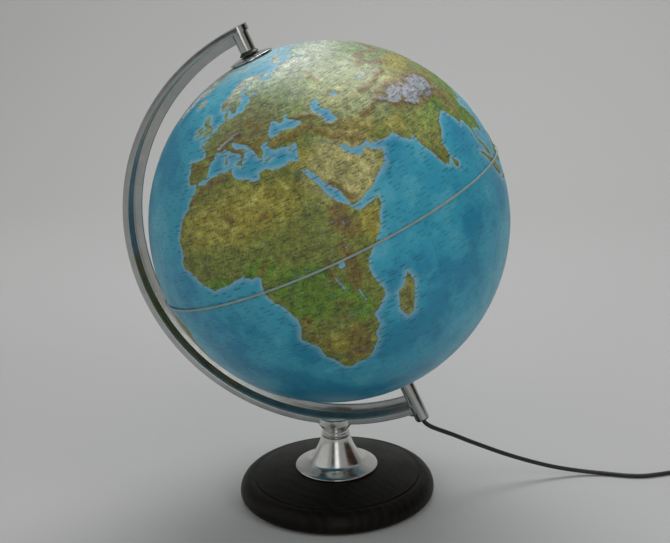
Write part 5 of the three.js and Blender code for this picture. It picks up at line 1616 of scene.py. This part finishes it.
shank = add(screw_tree, "GeometryNodeMeshCylinder", {
    "Vertices": 32, "Radius": ins["Shank Radius"], "Depth": ins["Shank Length"]}).outputs["Mesh"]
half_shank = add(screw_tree, "Math", {0: ins["Shank Length"], 1: -0.5}, operation="MULTIPLY").outputs[0]
drop = add(screw_tree, "CombineXYZ", {2: half_shank}).outputs[0]
shank_low = add(screw_tree, "GeometryNodeTransform", {"Geometry": shank, "Translation": drop}).outputs[0]
whole = add(screw_tree, "GeometryNodeMeshBoolean", {}, operation="UNION")
for part in (slotted.outputs["Mesh"], shank_low):
    screw_tree.links.new(part, whole.inputs["Mesh 2"])
copies = add(screw_tree, "GeometryNodeInstanceOnPoints", {"Points": ins["Geometry"], "Instance": whole.outputs["Mesh"]})
made_real(screw_tree, copies.outputs[0], ins, out)
print("screw tree nodes", len(screw_tree.nodes))

# %% The switch screws
for number, x in ((1, 0.341), (2, 0.379)):
    screw = mesh_object(f"switch_cross_screw_{number}", [(x, 0.063, 0.0154)], [])
    grown(screw, screw_tree, {"Material": materials["steel"]})
    finish_piece(screw, "stand", "steel", [f"switch_screw_{number}"], sharp=30)
    print(screw.name, "faces", len(screw.data.polygons))

# %% [markdown]
# ## The coil's tie
# A soft rubber strap goes round the coil's section once. Its outline is the coil's section, grown by a clearance
# and a strap's thickness; corners are well rounded because rubber doesn't crease.

# %% Coil tie
def strap_outline(grow):
    """The strap's path round the coil's section at +X, as (x, z) in millimetres."""
    left, right, top = 436.05 - grow, 447.95 + grow, 16.95 + grow
    low = 1.3 - grow if grow < 1.25 else 0.06
    section = [(left, low), (right, low), (right, 13.0 + 0.25 * grow), (443.6 + grow, top), (left, top)]
    return eased(section, 2.4, steps=6)


outer_strap, inner_strap = strap_outline(1.75), strap_outline(0.85)
STRAP_RINGS = 8  # five round the outside, from edge to edge, and three back along the inside
n = len(outer_strap)
strap_points = []
for y in (34.7, 35.1, 38.05, 41.0, 41.4):
    slim = 0.25 if y in (34.7, 41.4) else 0.0
    for (x, z), (xi, zi) in zip(outer_strap, inner_strap):
        strap_points.append((x + (xi - x) * slim, y, z + (zi - z) * slim))
for y in (41.4, 38.05, 34.7):
    strap_points += [(x, y, z) for x, z in inner_strap]
strap_faces = []
for r in range(STRAP_RINGS):
    here, there = r * n, (r + 1) % STRAP_RINGS * n
    strap_faces += [(here + i, here + (i + 1) % n, there + (i + 1) % n, there + i) for i in range(n)]
strap = face_outwards(mesh_object("coil_tie", strap_points, strap_faces, Matrix.Scale(MM, 4)))
finish_piece(strap, "stand", "dark_plastic", ["cord_tie"], sharp=60)
print("tie faces", len(strap.data.polygons))

# %% [markdown]
# ## The plug
# A two-pin plug is one rubber moulding over its pins. Its flat body is a bevelled slab whose back narrows into the
# strain relief, a tapered sleeve with ribs that let the flex bend in an easy curve. The ribs repeat along a line, so
# a node tree makes them: rings on a line of points, each one smaller than the last.

# %% Rib tree
rib_tree, ins, out = geometry_tree("relief_ribs", {
    "Count": ("Int", 7), "Pitch": ("Float", 0.0026), "First Radius": ("Float", 0.0050),
    "Last Radius": ("Float", 0.0031), "Rib Radius": ("Float", 0.0006), "Material": ("Material", None),
})
path = add(rib_tree, "GeometryNodeMeshLine", {
    "Count": ins["Count"], "Start Location": (0, 0, 0),
    "Offset": add(rib_tree, "CombineXYZ", {0: ins["Pitch"]}).outputs[0]}, mode="OFFSET").outputs["Mesh"]
index = add(rib_tree, "GeometryNodeInputIndex").outputs[0]
last = add(rib_tree, "Math", {0: ins["Count"], 1: 1.0}, operation="SUBTRACT").outputs[0]
share = add(rib_tree, "Math", {0: index, 1: last}, operation="DIVIDE").outputs[0]
last_size = add(rib_tree, "Math", {0: ins["Last Radius"], 1: ins["First Radius"]}, operation="DIVIDE")
size = add(rib_tree, "MapRange", {"Value": share, "To Min": 1.0, "To Max": last_size.outputs[0]}).outputs[0]
hoop = add(rib_tree, "GeometryNodeCurvePrimitiveCircle", {"Resolution": 48, "Radius": ins["First Radius"]})
bead_line = add(rib_tree, "GeometryNodeCurvePrimitiveCircle", {"Resolution": 10, "Radius": ins["Rib Radius"]})
rib_curves = {"Curve": hoop.outputs["Curve"], "Profile Curve": bead_line.outputs["Curve"]}
rib = add(rib_tree, "GeometryNodeCurveToMesh", rib_curves).outputs["Mesh"]
spread_size = add(rib_tree, "CombineXYZ", {0: size, 1: size, 2: 1.0}).outputs[0]
ribs = add(rib_tree, "GeometryNodeInstanceOnPoints", {
    "Points": path, "Instance": rib, "Rotation": (0, math.pi / 2, 0), "Scale": spread_size})
made_real(rib_tree, ribs.outputs[0], ins, out)
print("rib tree nodes", len(rib_tree.nodes))

# %% Plug body, ribs and pins
PLUG_AT = Matrix.Translation((0, 17.05, 0))
PIN_HEIGHT = 6.8  # middle of the pins and of the strain relief
PINS_AT = (-9.3, 9.3)
outline = [(320, -14.5), (322, -17.5), (334.4, -17.5), (356, -7), (356, 7), (334.4, 17.5), (322, 17.5), (320, 14.5)]
outline = eased(outline, 3.0, steps=4)
plug = slab("plug_shell", *([(x, y, z) for x, y in outline] for z in (0.02, 13.58)))
bevelled(plug, 2.2, segments=5, angle=60)
sleeve_outline = [(0, 352), (5.6, 352), (5.3, 356), (2.9, 377.4), (2.6, 377.9), (0, 377.9)]
sleeve = face_outwards(turned("sleeve", sleeve_outline, 64, units=1.0))
moved(sleeve, Matrix.Translation((0, 0, PIN_HEIGHT)) @ QUARTER_TURN)
grip = []
for y_side in (-1, 1):
    for k in range(4):
        x = 337.5 + 4.2 * k
        edge = 17.5 - (x - 334.4) * 10.5 / 21.6  # the plug's slanting side there
        grip.append(moved(rod("grip", 0.9, -1, 15, 16), Matrix.Translation((x, y_side * (edge + 0.35), 0))))
combined(plug, [sleeve], "UNION")
pin_ways = [
    moved(rod("pin_way", 2.3, 319, 328.3, 48), Matrix.Translation((0, y, PIN_HEIGHT)) @ QUARTER_TURN) for y in PINS_AT
]
combined(plug, [*grip, *pin_ways], "DIFFERENCE")
plug.data.transform(Matrix.Scale(MM, 4) @ PLUG_AT)
finish_piece(face_outwards(plug), "stand", "black_plastic", ["plug_body"], sharp=40)
relief_ribs = mesh_object("plug_ribs", [(0, 0, 0)], [])
grown(relief_ribs, rib_tree, {"Material": materials["black_plastic"]})
moved(relief_ribs, Matrix.Translation((0.3590, 0.01705, 0.0068)))
finish_piece(relief_ribs, "stand", "black_plastic", sharp=80)
for number, y in enumerate(PINS_AT, 1):
    pin_outline = [(0, 301), (0.9, 301), (1.6, 301.5), (1.95, 302.6), (2.0, 304), (2.0, 328), (0, 328)]
    prong = face_outwards(turned(f"plug_prong_{number}", pin_outline, 64))
    moved(prong, Matrix.Translation((0, 0.01705 + y * MM, 0.0068)) @ QUARTER_TURN)
    finish_piece(prong, "stand", "plated_pin", [f"plug_pin_{number}"])
print("plug faces", len(plug.data.polygons))

for name, node in frame["nodes"].items():
    if not node.hide_render and not node.get("dressed"):
        node.data.materials.clear()
        slot_name = next(s["material_slot"] for s in frame["record"]["subparts"] if s["node"] == name)
        node.data.materials.append(materials[slot_name])
        node.data.polygons.foreach_set("use_smooth", [True] * len(node.data.polygons))
        node.data.set_sharp_from_angle(angle=math.radians(30))
